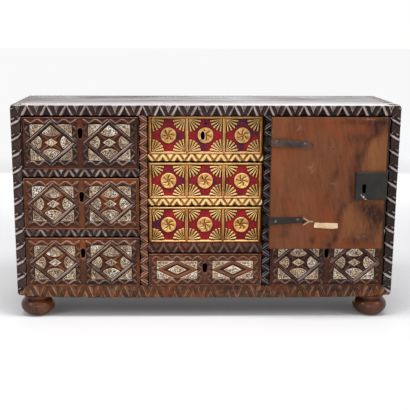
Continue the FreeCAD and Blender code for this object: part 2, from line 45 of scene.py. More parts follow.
# Lengths are worked out in case millimetres: x across from the middle, y back from the
# front plane, z up from the underside of the case. toFrame turns them into metres.
caseShift = np.array((0.0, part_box("frame_moulding_top")[0].y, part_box("case_bottom")[0].z)) * 1000


def toFrame(points):
    return (np.asarray(points, dtype=float) + caseShift) / 1000


def span(node):
    low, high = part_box(node)
    return np.array(low) * 1000 - caseShift, np.array(high) * 1000 - caseShift


def tone(red, green, blue):
    # a colour as it looks on screen, 0 to 255, made linear
    linear = [c / 255 / 12.92 if c <= 10 else ((c / 255 + 0.055) / 1.055) ** 2.4 for c in (red, green, blue)]
    return (*linear, 1.0)


class Wire:
    # a socket that takes part in sums
    def __init__(self, paint, socket):
        self.paint, self.socket = paint, socket

    def __add__(self, other): return self.paint.sum("ADD", self, other)
    def __radd__(self, other): return self.paint.sum("ADD", other, self)
    def __sub__(self, other): return self.paint.sum("SUBTRACT", self, other)
    def __rsub__(self, other): return self.paint.sum("SUBTRACT", other, self)
    def __mul__(self, other): return self.paint.sum("MULTIPLY", self, other)
    def __rmul__(self, other): return self.paint.sum("MULTIPLY", other, self)
    def __abs__(self): return self.paint.sum("ABSOLUTE", self)


class Paint:
    # the nodes of one material, or of the world, under construction
    def __init__(self, name, kind=bpy.data.materials):
        self.owner = kind.new(name)
        self.owner.use_nodes = True
        self.tree = self.owner.node_tree
        self.tree.nodes.clear()

    def node(self, kind, settings=None, values=None, output=0):
        made = self.tree.nodes.new("ShaderNode" + kind)
        for key, value in (settings or {}).items():
            if key == "stops":
                ramp = made.color_ramp
                while len(ramp.elements) < len(value):
                    ramp.elements.new(0.5)
                for element, (place, colour) in zip(ramp.elements, value):
                    element.position, element.color = place, colour
            else:
                setattr(made, key, value)
        for key, value in (values or {}).items():
            if isinstance(value, Wire):
                self.tree.links.new(value.socket, made.inputs[key])
            else:
                made.inputs[key].default_value = value
        return Wire(self, made.outputs[output])

    def sum(self, operation, first, second=0.0):
        return self.node("Math", {"operation": operation}, {0: first, 1: second})

    def most(self, first, second):
        return self.sum("MAXIMUM", first, second)

    def place(self, stretch=(1, 1, 1), shift=(0, 0, 0)):
        spot = self.node("TexCoord", output="Object")
        return self.node("Mapping", None, {"Vector": spot, "Location": shift, "Scale": stretch})

    def noise(self, vector, scale, detail=3.0, roughness=0.55, distortion=0.0):
        return self.node("TexNoise", None, {"Vector": vector, "Scale": scale, "Detail": detail,
                                                      "Roughness": roughness, "Distortion": distortion})

    def attribute(self, name):
        return self.node("Attribute", {"attribute_name": name}, None, "Fac")

    def mix(self, factor, first, second):
        # colours come as sockets or as they look on screen
        first, second = (c if isinstance(c, Wire) else tone(*c) for c in (first, second))
        return self.node("Mix", {"data_type": "RGBA"}, {0: factor, 6: first, 7: second}, 2)

    def fit(self, value, low, high, fromZero=0.0, toOne=1.0):
        # value carried from low..high to 0..1 (or other ends), held within them
        return self.node("MapRange", None, {0: value, 1: low, 2: high, 3: fromZero, 4: toOne})

    def ramp(self, value, *stops):
        stops = [(place, tone(*colour)) for place, colour in stops]
        return self.node("ValToRGB", {"stops": stops}, {0: value})

    def bump(self, height, strength, distance, **normal):
        return self.node("Bump", None, {"Height": height, "Strength": strength, "Distance": distance,
                                                  **normal})

    def finish(self, **values):
        sockets = {"colour": "Base Color", "roughness": "Roughness", "metallic": "Metallic", "normal": "Normal",
                   "gloss": "Specular IOR Level", "coat": "Coat Weight", "coatRoughness": "Coat Roughness"}
        shader = self.node("BsdfPrincipled", None, {sockets[k]: v for k, v in values.items()}, "BSDF")
        return self.close(shader)

    def close(self, shader, kind="OutputMaterial"):
        end = self.tree.nodes.new("ShaderNode" + kind)
        self.tree.links.new(shader.socket, end.inputs["Surface"])
        return self.owner


def wood(name, dark, mid, light, grain="x", rough=(0.35, 0.6), wearAndLitColour=None, dirtAndShade=(14, 8, 6), warm=None,
         seed=0.0, gloss=0.14, streak=1.0, patch=None, blotch=None, polish=0.0, dustAndLightShare=0.6, uneven=1.2):
    # Streaks are noise drawn out along the grain. The attribute crest rubs the colour to wear on raised edges;
    # slopes that look up and left take that pale colour too, partly as dust, partly as a painted highlight.
    # hollow fills the cuts with dirt and painted shade, above 1.1 it paints a hole black as its shade, warm tints
    # fresher wood, patch the sapwood.
    paint = Paint(name)
    squeeze = {"x": (0.12, 1, 1), "z": (1, 1, 0.12), "y": (1, 0.12, 1)}[grain]
    spot = paint.place(squeeze, (seed, seed * 0.7, seed * 0.3))
    figure = paint.noise(spot, 14.0, 4.0, 0.6, 0.6)
    fibre = paint.noise(spot, 150.0, 3.0, 0.7)
    cloud = paint.noise(paint.place(shift=(seed, 0, 0)), 9.0, 3.0)
    speck = paint.noise(paint.place(shift=(0, seed, 0)), 120.0, 2.0)
    thread, grit = fibre - 0.5, speck - 0.5
    colour = paint.ramp(figure + thread * (0.5 * streak), (0.3, dark), (0.52, mid), (0.75, light))
    colour = paint.mix(paint.fit(cloud, 0.45, 0.75) * 0.5, colour, dark)
    if blotch:
        stain = paint.noise(paint.place(shift=(2, seed, 3)), 13.0, 3.0, 0.6)
        colour = paint.mix(paint.fit(stain + thread * 0.3, 0.47, 0.66) * 0.85, colour, blotch)
    if patch:
        sapwood = paint.ramp(figure + thread * 0.5, (0.3, mid), (0.7, patch))
        colour = paint.mix(paint.attribute("patch"), colour, sapwood)
    if warm:
        fresh = paint.attribute("warm") * paint.fit(cloud + grit * 0.3, 0.36, 0.6, 0.15, 1.0)
        colour = paint.mix(fresh, colour, warm)
    hollow, crest = paint.attribute("hollow"), paint.attribute("crest")
    # dirt and painted shade darken the cuts and the slopes that look down
    colour = paint.mix(paint.fit(hollow + grit * 0.3, 0.05, 0.8) * 0.9, colour, dirtAndShade)
    hole = paint.fit(hollow, 1.05, 1.15)
    coat = {}
    if wearAndLitColour:
        patchy = paint.noise(paint.place(shift=(seed, 3, 1)), 45.0, 2.0) - 0.5
        rubbed = paint.fit(crest + patchy * uneven, 0.3, 0.9) * 0.8
        # painted highlight: slopes that look up and left are made paler, partly as dust
        dustyAndLit = paint.fit(paint.attribute("ledge") + patchy * 0.9, 0.15, 0.85) * dustAndLightShare
        worn = paint.most(rubbed, dustyAndLit)
        colour = paint.mix(worn, colour, wearAndLitColour)
        if polish:
            coat = {"coat": worn * polish * (1 - hole), "coatRoughness": 0.24}
    elif polish:
        coat = {"coat": polish, "coatRoughness": 0.12}
    # a hole is painted black, as the shade inside it
    colour = paint.mix(hole, colour, (1, 1, 1))
    skin = paint.bump(speck, 0.2, 0.0008, Normal=paint.bump(fibre, 0.25, 0.0006))
    roughness = paint.fit(fibre + hollow * 0.6 - crest * 0.2, 0.3, 0.9, *rough)
    return paint.finish(colour=colour, roughness=roughness, metallic=hole, normal=skin, gloss=gloss, **coat)


carvedWalnut = wood("carvedWalnut", (48, 33, 29), (72, 54, 48), (94, 72, 64), "x", (0.35, 0.6),
                    (190, 174, 168), (18, 11, 10), seed=3.0, polish=0.6, blotch=(78, 46, 32), dustAndLightShare=0.45)
railWalnut = wood("railWalnut", (54, 34, 22), (88, 57, 38), (118, 80, 56), "x", (0.4, 0.65),
                  (160, 120, 98), (24, 13, 8), seed=7.0, polish=0.2, blotch=(118, 62, 28), dustAndLightShare=0.5)
centreWalnut = wood("centreWalnut", (54, 35, 29), (88, 59, 48), (116, 82, 68), "x", (0.4, 0.65),
                    (158, 124, 112), (26, 15, 12), seed=6.0, polish=0.2, blotch=(106, 60, 36), dustAndLightShare=0.5)
stileWalnut = wood("stileWalnut", (40, 28, 26), (60, 43, 39), (80, 60, 54), "z", (0.4, 0.6),
                   (184, 172, 170), (12, 8, 8), seed=5.0, polish=0.7, blotch=(58, 34, 26), dustAndLightShare=0.65)
dividerWalnut = wood("dividerWalnut", (68, 38, 26), (100, 60, 42), (124, 80, 58), "z", (0.35, 0.6),
                     (180, 136, 116), (44, 23, 14), seed=8.0, polish=0.3, blotch=(140, 78, 44), dustAndLightShare=0.35)
# the right upright, beside the door, is painted much darker, for the door's shade on it
shadedDivider = wood("shadedDivider", (22, 16, 16), (36, 27, 27), (54, 41, 40), "z", (0.35, 0.6),
                   (126, 112, 114), (3, 2, 3), seed=9.0, polish=0.4, gloss=0.08)
drawerWalnut = wood("drawerWalnut", (38, 22, 16), (66, 40, 28), (92, 60, 44), "x", (0.35, 0.6),
                    (168, 142, 132), (8, 4, 4), (154, 86, 44), seed=11.0, polish=0.5, blotch=(98, 52, 30),
                    gloss=0.12)
darkDrawer = wood("darkDrawer", (30, 19, 15), (54, 35, 27), (78, 54, 44), "x", (0.35, 0.6),
                  (166, 144, 138), (6, 3, 3), (150, 70, 34), seed=14.0, polish=0.5, blotch=(84, 46, 30),
                  gloss=0.12)
lowWalnut = wood("lowWalnut", (48, 28, 21), (82, 50, 36), (108, 70, 52), "x", (0.35, 0.6),
                 (176, 140, 124), (22, 12, 8), (148, 84, 46), seed=12.0, polish=0.4, blotch=(108, 60, 38),
                 gloss=0.12, dustAndLightShare=0.4)
doorWalnut = wood("doorWalnut", (80, 48, 31), (105, 60, 35), (120, 73, 44), "z", (0.4, 0.62),
                  (172, 140, 118), (30, 18, 16), seed=13.0, patch=(128, 82, 45), blotch=(114, 56, 28),
                  gloss=0.12, dustAndLightShare=0.0, streak=0.6, uneven=0.6)
sideWalnut = wood("sideWalnut", (48, 33, 28), (76, 55, 46), (100, 77, 66), "z", (0.4, 0.6),
                  seed=19.0, gloss=0.16, blotch=(66, 40, 30))
turnedWalnut = wood("turnedWalnut", (38, 18, 10), (72, 36, 18), (104, 57, 30), "z", (0.3, 0.45),
                    seed=23.0, gloss=0.12, polish=0.32)
backWalnut = wood("backWalnut", (44, 33, 28), (72, 56, 48), (98, 80, 68), "x", (0.5, 0.75),
                  (128, 110, 98), seed=31.0, gloss=0.1, blotch=(60, 42, 32))
liningWood = wood("liningWood", (126, 90, 58), (158, 118, 78), (184, 146, 102), "y", (0.5, 0.75), seed=29.0)


def dustAndSheenTop():
    # Boards of the case: streaks along the length and stains. The top face, 0.567 m up, has a paler, handled
    # strip at the front, greyed as a painted sheen, and a near-white painted reflection along the front edge,
    # brightest toward the right.
    paint = Paint("caseWalnut")
    spot = paint.place((0.1, 1, 1))
    figure, fibre = paint.noise(spot, 16.0, 4.0, 0.65, 0.5), paint.noise(spot, 170.0, 3.0, 0.7)
    cloud = paint.noise(paint.place(shift=(4, 1, 2)), 7.0, 4.0, 0.6)
    across, depth, height = (paint.node("SeparateXYZ", None, {0: paint.place()}, k) for k in range(3))
    ragged = depth + (cloud - 0.5) * 0.12
    upper = paint.fit(height, 0.5662, 0.5668)
    handledAndSheen = paint.fit(ragged, -0.15, 0.06, 1.0, 0.0) * upper
    front = paint.fit(ragged, -0.14, 0.0, 1.0, 0.0) * paint.fit(across, -0.45, 0.15, 0.35, 1.0)
    colour = paint.ramp(figure + (fibre - 0.5) * 0.6, (0.3, (40, 28, 27)), (0.5, (66, 52, 50)),
                        (0.72, (92, 80, 80)))
    colour = paint.mix(paint.fit(cloud + (figure - 0.5) * 0.8, 0.5, 0.66) * 0.8, colour, (38, 25, 23))
    # painted sheen over the handled strip at the front
    colour = paint.mix(handledAndSheen * 0.4, colour, (128, 118, 120))
    # painted reflection: near-white along the front edge, brightest toward the right
    colour = paint.mix(front * upper * 0.75, colour, (196, 188, 193))
    shine = paint.fit(figure * 1.1 + cloud * 0.8 + fibre * 0.35 + handledAndSheen * 0.1, 0.98, 1.4, 0.0, 0.62)
    return paint.finish(colour=colour, roughness=paint.fit(fibre + cloud * 0.4, 0.45, 0.95, 0.4, 0.6),
                        normal=paint.bump(figure + fibre * 0.5, 0.3, 0.0012), gloss=0.06,
                        coat=(shine + front * 0.3) * upper, coatRoughness=0.3)


def goldAndRed():
    # Attribute gold: 1 on the gilt carving, 0 on the lacquered ground. The red bole under the leaf shows in
    # patches and where warm is set, dirt and painted shade fill the cuts, hollow above 1.1 paints a hole black as
    # its shade, and the leaf is painted a bright cream on crests, as rubbing and a painted highlight, and on
    # slopes that look up, as a painted highlight.
    paint = Paint("gilding")
    spot = paint.place()
    cloud, speck = paint.noise(spot, 22.0, 3.0), paint.noise(spot, 170.0, 3.0, 0.65)
    rub = paint.noise(paint.place(shift=(1, 6, 2)), 60.0, 3.0, 0.6)
    grit, patchy = speck - 0.5, rub - 0.5
    names = "gold", "crest", "hollow", "ledge", "warm"
    gold, crest, hollow, ledge, warm = (paint.attribute(name) for name in names)
    leaf = paint.ramp(cloud + grit * 0.5, (0.3, (134, 86, 36)), (0.5, (192, 136, 68)),
                      (0.75, (222, 172, 102)))
    bole = warm * 0.5 + paint.fit(rub + grit * 0.4 + warm * 0.1, 0.52, 0.66) * 0.45
    leaf = paint.mix(bole, leaf, (166, 78, 38))
    # dirt and painted shade darken the leaf in the cuts
    leaf = paint.mix(paint.fit(hollow, 0.08, 0.75), leaf, (66, 32, 12))
    # painted highlight: rubbed crests and slopes that look up are painted a bright cream
    rubbedAndHighlit = paint.most(paint.fit(crest + patchy * 0.9, 0.3, 0.9) * 0.66,
                        paint.fit(ledge + patchy * 0.8, 0.2, 0.9) * 0.72)
    # a hole is painted black, as the shade inside it
    hole = paint.fit(hollow, 0.9, 1.1)
    leaf = paint.mix(hole, paint.mix(rubbedAndHighlit, leaf, (252, 214, 146)), (2, 1, 1))
    ground = paint.ramp(paint.noise(paint.place(shift=(5, 2, 1)), 24.0, 2.0), (0.34, (162, 24, 30)),
                        (0.52, (128, 14, 28)), (0.66, (74, 20, 48)))
    # dirt and painted shade darken the red ground in the cuts
    ground = paint.mix(paint.fit(hollow, 0.15, 0.8) * 0.85, ground, (30, 4, 6))
    mask = paint.fit(gold + grit * 0.35, 0.4, 0.6)
    return paint.finish(colour=paint.mix(mask, ground, leaf), metallic=mask * 0.2 + hole * 0.8,
                        roughness=paint.fit(speck + mask * -0.2, 0.2, 0.7, 0.32, 0.5), gloss=0.12,
                        normal=paint.bump(speck, 0.25, 0.0006), coat=rubbedAndHighlit * mask * (1 - hole) * 0.5,
                        coatRoughness=0.25)


def engravedBone(name, dull):
    # Attribute rim: 1 at the edge of a plaque. Inside it the ground is cut with dark strokes, where a noise
    # crosses its middle value, and with pricks in the middles of small cells. dull is how worn it looks.
    paint = Paint(name)
    spot = paint.place()
    rim = paint.attribute("rim")
    cell = paint.node("TexVoronoi", {"feature": "F1"},
                      {"Vector": spot, "Scale": 310.0, "Randomness": 0.9})
    curl = paint.noise(spot, 180.0, 1.0, 0.5, 1.2)
    cloud = paint.noise(paint.place(shift=(3, 1, 0)), 40.0, 2.0)
    grime = paint.noise(paint.place(shift=(7, 2, 5)), 26.0, 3.0, 0.6)
    strokes = paint.fit(abs(curl - 0.5), 0.05, 0.068, 1.0, 0.0)
    cut = paint.most(strokes, paint.fit(cell, 0.38, 0.46, 1.0, 0.0)) * (1 - paint.fit(rim, 0.35, 0.6))
    shades = ((0.35, 0.94 - 0.24 * dull, (214, 182, 146)), (0.5, 1 - 0.16 * dull, (226, 194, 156)),
              (0.66, 1 - 0.1 * dull, (252, 240, 218)))
    pale = paint.ramp(cloud, *((place, tuple(c * share for c in colour)) for place, share, colour in shades))
    pale = paint.mix(paint.fit(grime, 0.46, 0.66) * dull, pale, (124, 94, 70))
    pale = paint.mix(paint.fit(rim, 0.6, 1.0) * 0.4 * dull, pale, (92, 62, 44))
    return paint.finish(colour=paint.mix(cut * 0.97, pale, (34, 20, 12)),
                        roughness=paint.fit(cloud, 0.3, 0.7, 0.3, 0.5), normal=paint.bump(1 - cut, 0.4, 0.0004),
                        gloss=0.4)


def oldIron(name, dark, mid, rust, chips=()):
    # what lies left of the door's edge, in its hinge, is painted black as shade; chips lists bare spots: place
    # and radius
    paint = Paint(name)
    spot = paint.place()
    shade = paint.fit(paint.node("SeparateXYZ", None, {0: spot}), 0.158, 0.167, 1.0, 0.0)
    cloud, speck = paint.noise(spot, 30.0, 4.0), paint.noise(spot, 240.0, 3.0, 0.7)
    grit = speck - 0.5
    colour = paint.ramp(cloud + grit * 0.6, (0.3, dark), (0.5, mid), (0.75, rust))
    colour = paint.mix(shade, colour, (10, 8, 8))
    for place, radius in chips:
        away = paint.node("VectorMath", {"operation": "DISTANCE"}, {0: spot, 1: place}, "Value")
        bare = paint.fit(away + grit * 0.012, radius - 0.0008, radius + 0.0006, 0.9, 0.0)
        colour = paint.mix(bare, colour, (196, 182, 158))
    return paint.finish(colour=colour, roughness=paint.fit(speck, 0.3, 0.7, 0.4, 0.65), metallic=0.35,
                        normal=paint.bump(cloud + speck * 0.4, 0.35, 0.001), gloss=0.3)


def agedPaper():
    paint = Paint("paper")
    cloud = paint.noise(paint.place(), 60.0, 4.0, 0.6)
    colour = paint.ramp(cloud, (0.3, (186, 154, 120)), (0.6, (210, 180, 146)),
                        (0.8, (222, 194, 160)))
    return paint.finish(colour=colour, roughness=0.85, normal=paint.bump(cloud, 0.3, 0.0005))


# bare spots on the face of the lock in millimetres: x, height over the floor, radius
lockChips = ((396, 346, 1.7), (402, 341, 2.5), (408, 334, 2.2), (399, 332, 1.7), (412, 328, 2.4))
lockFace = -198.5
caseWalnut, gilding, paper = dustAndSheenTop(), goldAndRed(), agedPaper()
bone, cleanBone = engravedBone("bone", 0.65), engravedBone("cleanBone", 0.1)
iron = oldIron("iron", (38, 28, 23), (64, 48, 40), (96, 68, 54))
lockIron = oldIron("lockIron", (24, 23, 22), (31, 30, 28), (44, 38, 33),
                   [((x / 1000, lockFace / 1000, z / 1000), r / 1000) for x, z, r in lockChips])
nailIron = oldIron("nailIron", (34, 30, 28), (66, 60, 55), (140, 132, 122))
print("finishes made")


def smoothNoise(a, b, size, seed):
    # random numbers on a lattice of that size, blended between its points by smoothstep weights
    table = np.random.default_rng(seed).uniform(-1, 1, (64, 64))
    s, t = a / size + 40, b / size + 40
    i, j = np.floor(s).astype(int), np.floor(t).astype(int)
    f, g = (k * k * (3 - 2 * k) for k in (s - i, t - j))
    near, far = (table[p % 64, j % 64] * (1 - g) + table[p % 64, (j + 1) % 64] * g for p in (i, i + 1))
    return near * (1 - f) + far * f


def soften(values, rounds):
    # each point takes the mean of itself, counted twice, and its four neighbours, over and over
    for _ in range(rounds):
        v = np.pad(values, 1, mode="edge")
        values = (v[1:-1, 1:-1] * 2 + v[:-2, 1:-1] + v[2:, 1:-1] + v[1:-1, :-2] + v[1:-1, 2:]) / 6
    return values


def climb(value, zeroAt, oneAt):
    # 0 up to zeroAt, 1 from oneAt on, even between them; oneAt may be the smaller
    return np.clip((value - zeroAt) / (oneAt - zeroAt), 0, 1)


def blend(first, second, share):
    return first * (1 - share) + second * share


def profile(value, table):
    # reads a table of (value, result)
    return np.interp(value, *zip(*table))


def lines(low, high, step):
    return np.linspace(low, high, max(2, int(round((high - low) / step)) + 1))


def gridOver(low, high, step):
    return np.meshgrid(lines(low[0], high[0], step), lines(low[2], high[2], step))


def edgeDepth(x, z, low, high):
    # distance inside the four edges of a front
    return np.minimum(np.minimum(x - low[0], high[0] - x), np.minimum(z - low[2], high[2] - z))


def addMesh(name, points, faces, material, body, replaced=(), slot=None, attributes=None, smooth=None):
    # faces is a list of index tables, each with one number of corners
    mesh = bpy.data.meshes.new(name)
    sizes = np.concatenate([np.full(len(f), f.shape[1]) for f in faces])
    corners = np.concatenate([f.ravel() for f in faces]).astype(np.int32)
    mesh.vertices.add(len(points))
    mesh.vertices.foreach_set("co", toFrame(points).astype(np.float32).ravel())
    mesh.loops.add(len(corners))
    mesh.loops.foreach_set("vertex_index", corners)
    mesh.polygons.add(len(sizes))
    mesh.polygons.foreach_set("loop_start", (np.cumsum(sizes) - sizes).astype(np.int32))
    shade = np.concatenate([np.full(len(f), k) for f, k in zip(faces, smooth)])
    mesh.polygons.foreach_set("use_smooth", shade.astype(bool))
    for key, values in (attributes or {}).items():
        layer = mesh.attributes.new(key, "FLOAT", "POINT")
        layer.data.foreach_set("value", np.asarray(values, dtype=np.float32).ravel())
    mesh.update(calc_edges=True)
    mesh.materials.append(material)
    piece = bpy.data.objects.new(name, mesh)
    bpy.context.scene.collection.objects.link(piece)
    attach(piece, body)
    if replaced:
        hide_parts(*replaced)
    return piece


def gridFaces(rows, columns, start=0):
    # quads of a grid of points laid row by row, seen anticlockwise with columns to the right and rows up
    index = np.arange(rows * columns).reshape(rows, columns) + start
    return np.stack([index[:-1, :-1], index[:-1, 1:], index[1:, 1:], index[1:, :-1]], -1).reshape(-1, 4)


def ringOf(rows, columns):
    # the border of such a grid, once round in the same sense
    index = np.arange(rows * columns).reshape(rows, columns)
    return np.concatenate([index[0, :-1], index[:-1, -1], index[-1, :0:-1], index[:0:-1, 0]])


def carvedBlock(name, x, z, recess, front, back, material, body, crest=1.0, hollow=0.0, ledge=1.0, left=0.0,
                pale=0.0, sideCrest=0.0, reach=8, extra=None, **rest):
    # Front: a grid of points (x, z), each cut recess deep behind the plane front.
    # From its border straight walls run to the plane back. A back nearer than front turns the block round.
    rows, columns = x.shape
    facing = 1 if back > front else -1
    points = np.stack([x, front + facing * recess, z], -1).reshape(-1, 3)
    ring = ringOf(rows, columns)
    rear = points[ring].copy()
    rear[:, 1] = back
    far = np.arange(len(ring)) + len(points)
    walls = np.stack([ring, far, np.roll(far, -1), np.roll(ring, -1)], -1)
    faces = [gridFaces(rows, columns), walls, far[::-1][None, :]]
    if facing < 0:
        faces = [f[:, ::-1] for f in faces]
    # crest marks what stands out from the mean around it; hollow marks what lies deeper, for dirt and painted
    # shade, and paints shade on what looks down; the lit-slope mark paints light, with dust, on slopes that look
    # up (and, by the share left, to the left)
    mean = soften(recess, reach)
    rise = np.gradient(recess, axis=0) / np.maximum(np.gradient(z, axis=0), 0.05)
    leftward = -np.gradient(recess, axis=1) / np.maximum(np.gradient(x, axis=1), 0.05)
    marks = {"crest": np.maximum(climb(mean - recess, 0, 0.9) * crest, pale),
             "hollow": np.clip((recess - mean) * 0.6 + 0.35 * climb(-rise, 0.3, 1.2) + hollow, 0, 1.3),
             "ledge": climb(rise + left * leftward, 0.25, 0.85) * climb(recess, 4.6, 3.1) * ledge,
             **(extra or {})}
    onWalls = {k: np.zeros(len(ring)) for k in marks}
    onWalls["crest"] += sideCrest
    if "gold" in marks:
        onWalls["gold"] = marks["gold"].ravel()[ring]
    marks = {k: np.concatenate([v.ravel(), onWalls[k]]) for k, v in marks.items()}
    return addMesh(name, np.concatenate([points, rear]), faces, material, body, attributes=marks,
                   smooth=[True, False, False], **rest)


def chipCut(along, across, width, period, feet, start, ribbon, inside, outside, island=None, spread=1.0,
            claw=0.0):
    # A row of triangles: each has its tip at start + n * period on the far side, and on the near side
    # one foot feet[0] before that and one feet[1] after. A ribbon is left along their sides.
    # Depth grows from the ribbon by tables of (distance, depth): inside one for each side of the
    # triangle, outside one for the wood between. An island (half width, height) hangs from the far
    # side half way between two tips; with a claw depth two grooves part it into three fingers.
    across, width = across + width * (spread - 1) / 2, width * spread
    u = (along - start + feet[0]) % period - feet[0] - np.array((0, -period, period)).reshape(3, 1, 1)
    sides = [(sign * width * u + foot * (across - width)) / math.hypot(width, foot)
             for sign, foot in zip((-1, 1), feet)]
    worst = np.maximum(*sides)
    nearest = worst.argmin(0)[None]
    best, one, two = (np.take_along_axis(k, nearest, 0)[0] for k in (worst, *sides))
    half = ribbon / 2
    within = np.minimum(profile(-one - half, inside[0]), profile(-two - half, inside[1]))
    beyond = profile(best - half, outside)
    if island is not None:
        wide, high = island
        beside, up = np.abs((along - start) % period - period / 2), across - width + high
        away = (high * beside - wide * up) / math.hypot(wide, high)
        share = np.clip(beside * high / (wide * np.maximum(up, 2.0)), 0, 1)
        fingers = claw * np.sin(1.5 * math.pi * share) ** 2 * (away < 0)
        beyond = np.minimum(beyond, np.interp(away, (-1.5, 0, 2.5), (0.3, 0.5, 3.4)) + fingers)
    crown = 0.5 * np.clip(np.abs(best) / half, 0, 1) ** 2
    return np.where(np.abs(best) < half, crown, 0.5 + np.where(best < 0, within, beyond))


def strokeCut(along, across, period, start, lean, hook, inner):
    # A row of oblique strokes rising from the outer edge (across 0) inwards and hooking up at the inner
    # edge. Above each crest a steep facet drops into a groove, a short second crest follows on the outer
    # side, then a broad flat facet; a narrow ridge runs back from each inner end to the next stroke.
    tilt = math.cos(math.atan(lean))
    full = period * tilt
    up = ((along - start - lean * across - hook * np.maximum(across - inner + 8, 0) ** 2) % period) * tilt
    main = np.interp(up, (0, 1.6, 5.6, 12.5, 14.5, 30, full - 3.4, full),
                     (0.1, 0.2, 4.4, 3.6, 3.4, 2.7, 3.6, 0.1))
    second = np.interp(up, (6.4, 11.4, 12.2, 14.6), (4.4, 1.5, 1.5, 3.4), left=9, right=9)
    main = np.where(across < 12, np.minimum(main, second + np.maximum(across - 8, 0)), main)
    back = (period - lean * inner) / inner
    off = (along - start - lean * inner - back * (inner - across) + period / 2) % period - period / 2
    return np.minimum(main, np.interp(np.abs(off) / math.hypot(1, back), (0, 0.8, 4.2), (2.3, 2.4, 4.6)))


slope = ((0, 0), (3.6, 3.6), (9, 4.8))
# shadeRim is how far the black rim, painted shade and dirt, reaches in; worn where along a level strip the
# rubbing and the painted paleness start and are full
mouldings = {"long": 1000.0, "tall": 502.0, "width": 25.0, "step": 1.0, "wobble": 0.8, "sag": 8.0, "back": 14.0,
             "corner": 7.0, "shadeRim": {"left": 1.4, "right": 3.6},
             "worn": {"top": (-130, -280), "bottom": (-50, 150)}}
frameCuts = {
    "top": {"period": 47.7, "feet": (13.0, 13.0), "start": -456.0, "ribbon": 2.6, "inside": (slope, slope),
            "outside": ((0, 0), (2.8, 3.2), (7, 3.8)), "island": (6.5, 15.0), "claw": 2.0},
    "bottom": {"period": 48.0, "feet": (14.0, 14.0), "start": -9.0, "ribbon": 2.8,
               "inside": (((0, 0), (2, 1.8), (3.4, 1.0), (4.6, 2.4), (8, 2.8)),) * 2,
               "outside": ((0, 0), (2, 1.8), (3.2, 1.0), (4.4, 2.2), (7, 2.6)), "island": (7.5, 13.0),
               "claw": 1.6}}
strokes = {"left": {"period": 40.9, "start": 117.0, "lean": 0.515, "hook": 0.08},
           "right": {"period": 40.7, "start": 119.0, "lean": 0.56, "hook": 0.03}}
# where the tips of the hand-cut top strip stand
topTips = (-456, -407.5, -358, -307, -258, -209, -163.5, -119, -72.5, -24, 25.5, 71.5, 119, 162.5, 206, 251,
           298.5, 348.5, 399.5, 450)


def carvedStrip(side, material, seed):
    # v runs out from the opening; the strip is longer there, because its ends are mitred
    width, wobble, step = mouldings["width"], mouldings["wobble"], mouldings["step"]
    halfLong, halfTall = mouldings["long"] / 2, mouldings["tall"] / 2
    level, top = side in ("top", "bottom"), side == "top"
    length = mouldings["long" if level else "tall"]
    share, v = lines(-0.5, 0.5, step / length), lines(0, width, step)
    if side in ("bottom", "left"):
        v = v[::-1]
    share, v = np.meshgrid(share, v) if level else [k.T for k in np.meshgrid(share, v)]
    along = share * (length - 2 * (width - v))
    if top:
        x, z = along, 2 * halfTall - width + v
    elif level:
        x, z = along, width - v - mouldings["sag"] * v / width * (1 - (2 * along / length) ** 6)
    else:
        x, z = (halfLong - width + v) * (-1 if side == "left" else 1), along + halfTall
    a = along + wobble * (2.2 * smoothNoise(along, v * 0, 90, seed) + smoothNoise(along, v, 30, seed + 1))
    c = v + 0.6 * wobble * smoothNoise(along, v, 22, seed + 2)
    if top:
        even = frameCuts[side]["start"] + frameCuts[side]["period"] * np.arange(len(topTips))
        a = np.interp(a, topTips, even) + np.minimum(along - topTips[0], 0) + np.maximum(along - topTips[-1], 0)
    if level:
        rough = 0 if top else 0.5 * smoothNoise(along, v * 0.4, 3.2, seed + 5)
        recess = chipCut(a, c, width, **frameCuts[side]) + rough
    else:
        recess = strokeCut(a, width - c, inner=width, **strokes[side])
    recess = np.clip(recess + 0.25 * smoothNoise(along, v, 6, seed + 3), 0.05, 5.4)
    # the outer corners are rubbed round: a square patch is pressed into a quarter circle
    r = mouldings["corner"]
    dx, dz = np.abs(x) - (halfLong - r), np.abs(z - halfTall) - (halfTall - r)
    pressed = np.where((dx > 0) & (dz > 0), np.maximum(dx, dz) / np.maximum(np.hypot(dx, dz), 1e-6), 1)
    x = np.where(pressed < 1, np.sign(x) * (halfLong - r + dx * pressed), x)
    z = np.where(pressed < 1, halfTall + np.sign(z - halfTall) * (halfTall - r + dz * pressed), z)
    # deep cuts are darkened, with dirt and painted shade
    hollow = 0.8 * climb(recess, 2.2, 5.0)
    if level:
        # toward one end the falling legs of the zigzag are painted pale, as lit, and the rising ones darker, as
        # shaded
        period, start = frameCuts[side]["period"], frameCuts[side]["start"]
        falling = ((a - start + period / 2) % period - period / 2) * (1 if top else -1)
        worn = climb(along, *mouldings["worn"][side])
        crest = 1 - 0.5 * (falling < 0) * worn
        pale = top * 0.75 * (falling > 0) * (falling < 15) * worn * climb(recess, 0.8, 0.3)
    else:
        # the rim next to the drawers and the door is black with shade and dirt
        shadeRim = mouldings["shadeRim"][side]
        hollow = hollow + 1.2 * climb(v, shadeRim, shadeRim - 1.2)
        crest, pale = 0.4, 0.8 * climb(recess, 0.9, 0.3) * climb(v, 4, 7)
    carvedBlock("moulding_" + side, x, z, recess, 0.0, mouldings["back"], material, "case", crest, hollow,
                ledge=pressed >= 1, pale=pale, sideCrest=0.75 if top else 0.2,
                replaced=("frame_moulding_" + side,), slot="carved_walnut")


for side, material, seed in (("top", carvedWalnut, 10), ("bottom", railWalnut, 20), ("left", stileWalnut, 30),
                             ("right", stileWalnut, 40)):
    carvedStrip(side, material, seed)
print("frame mouldings made")

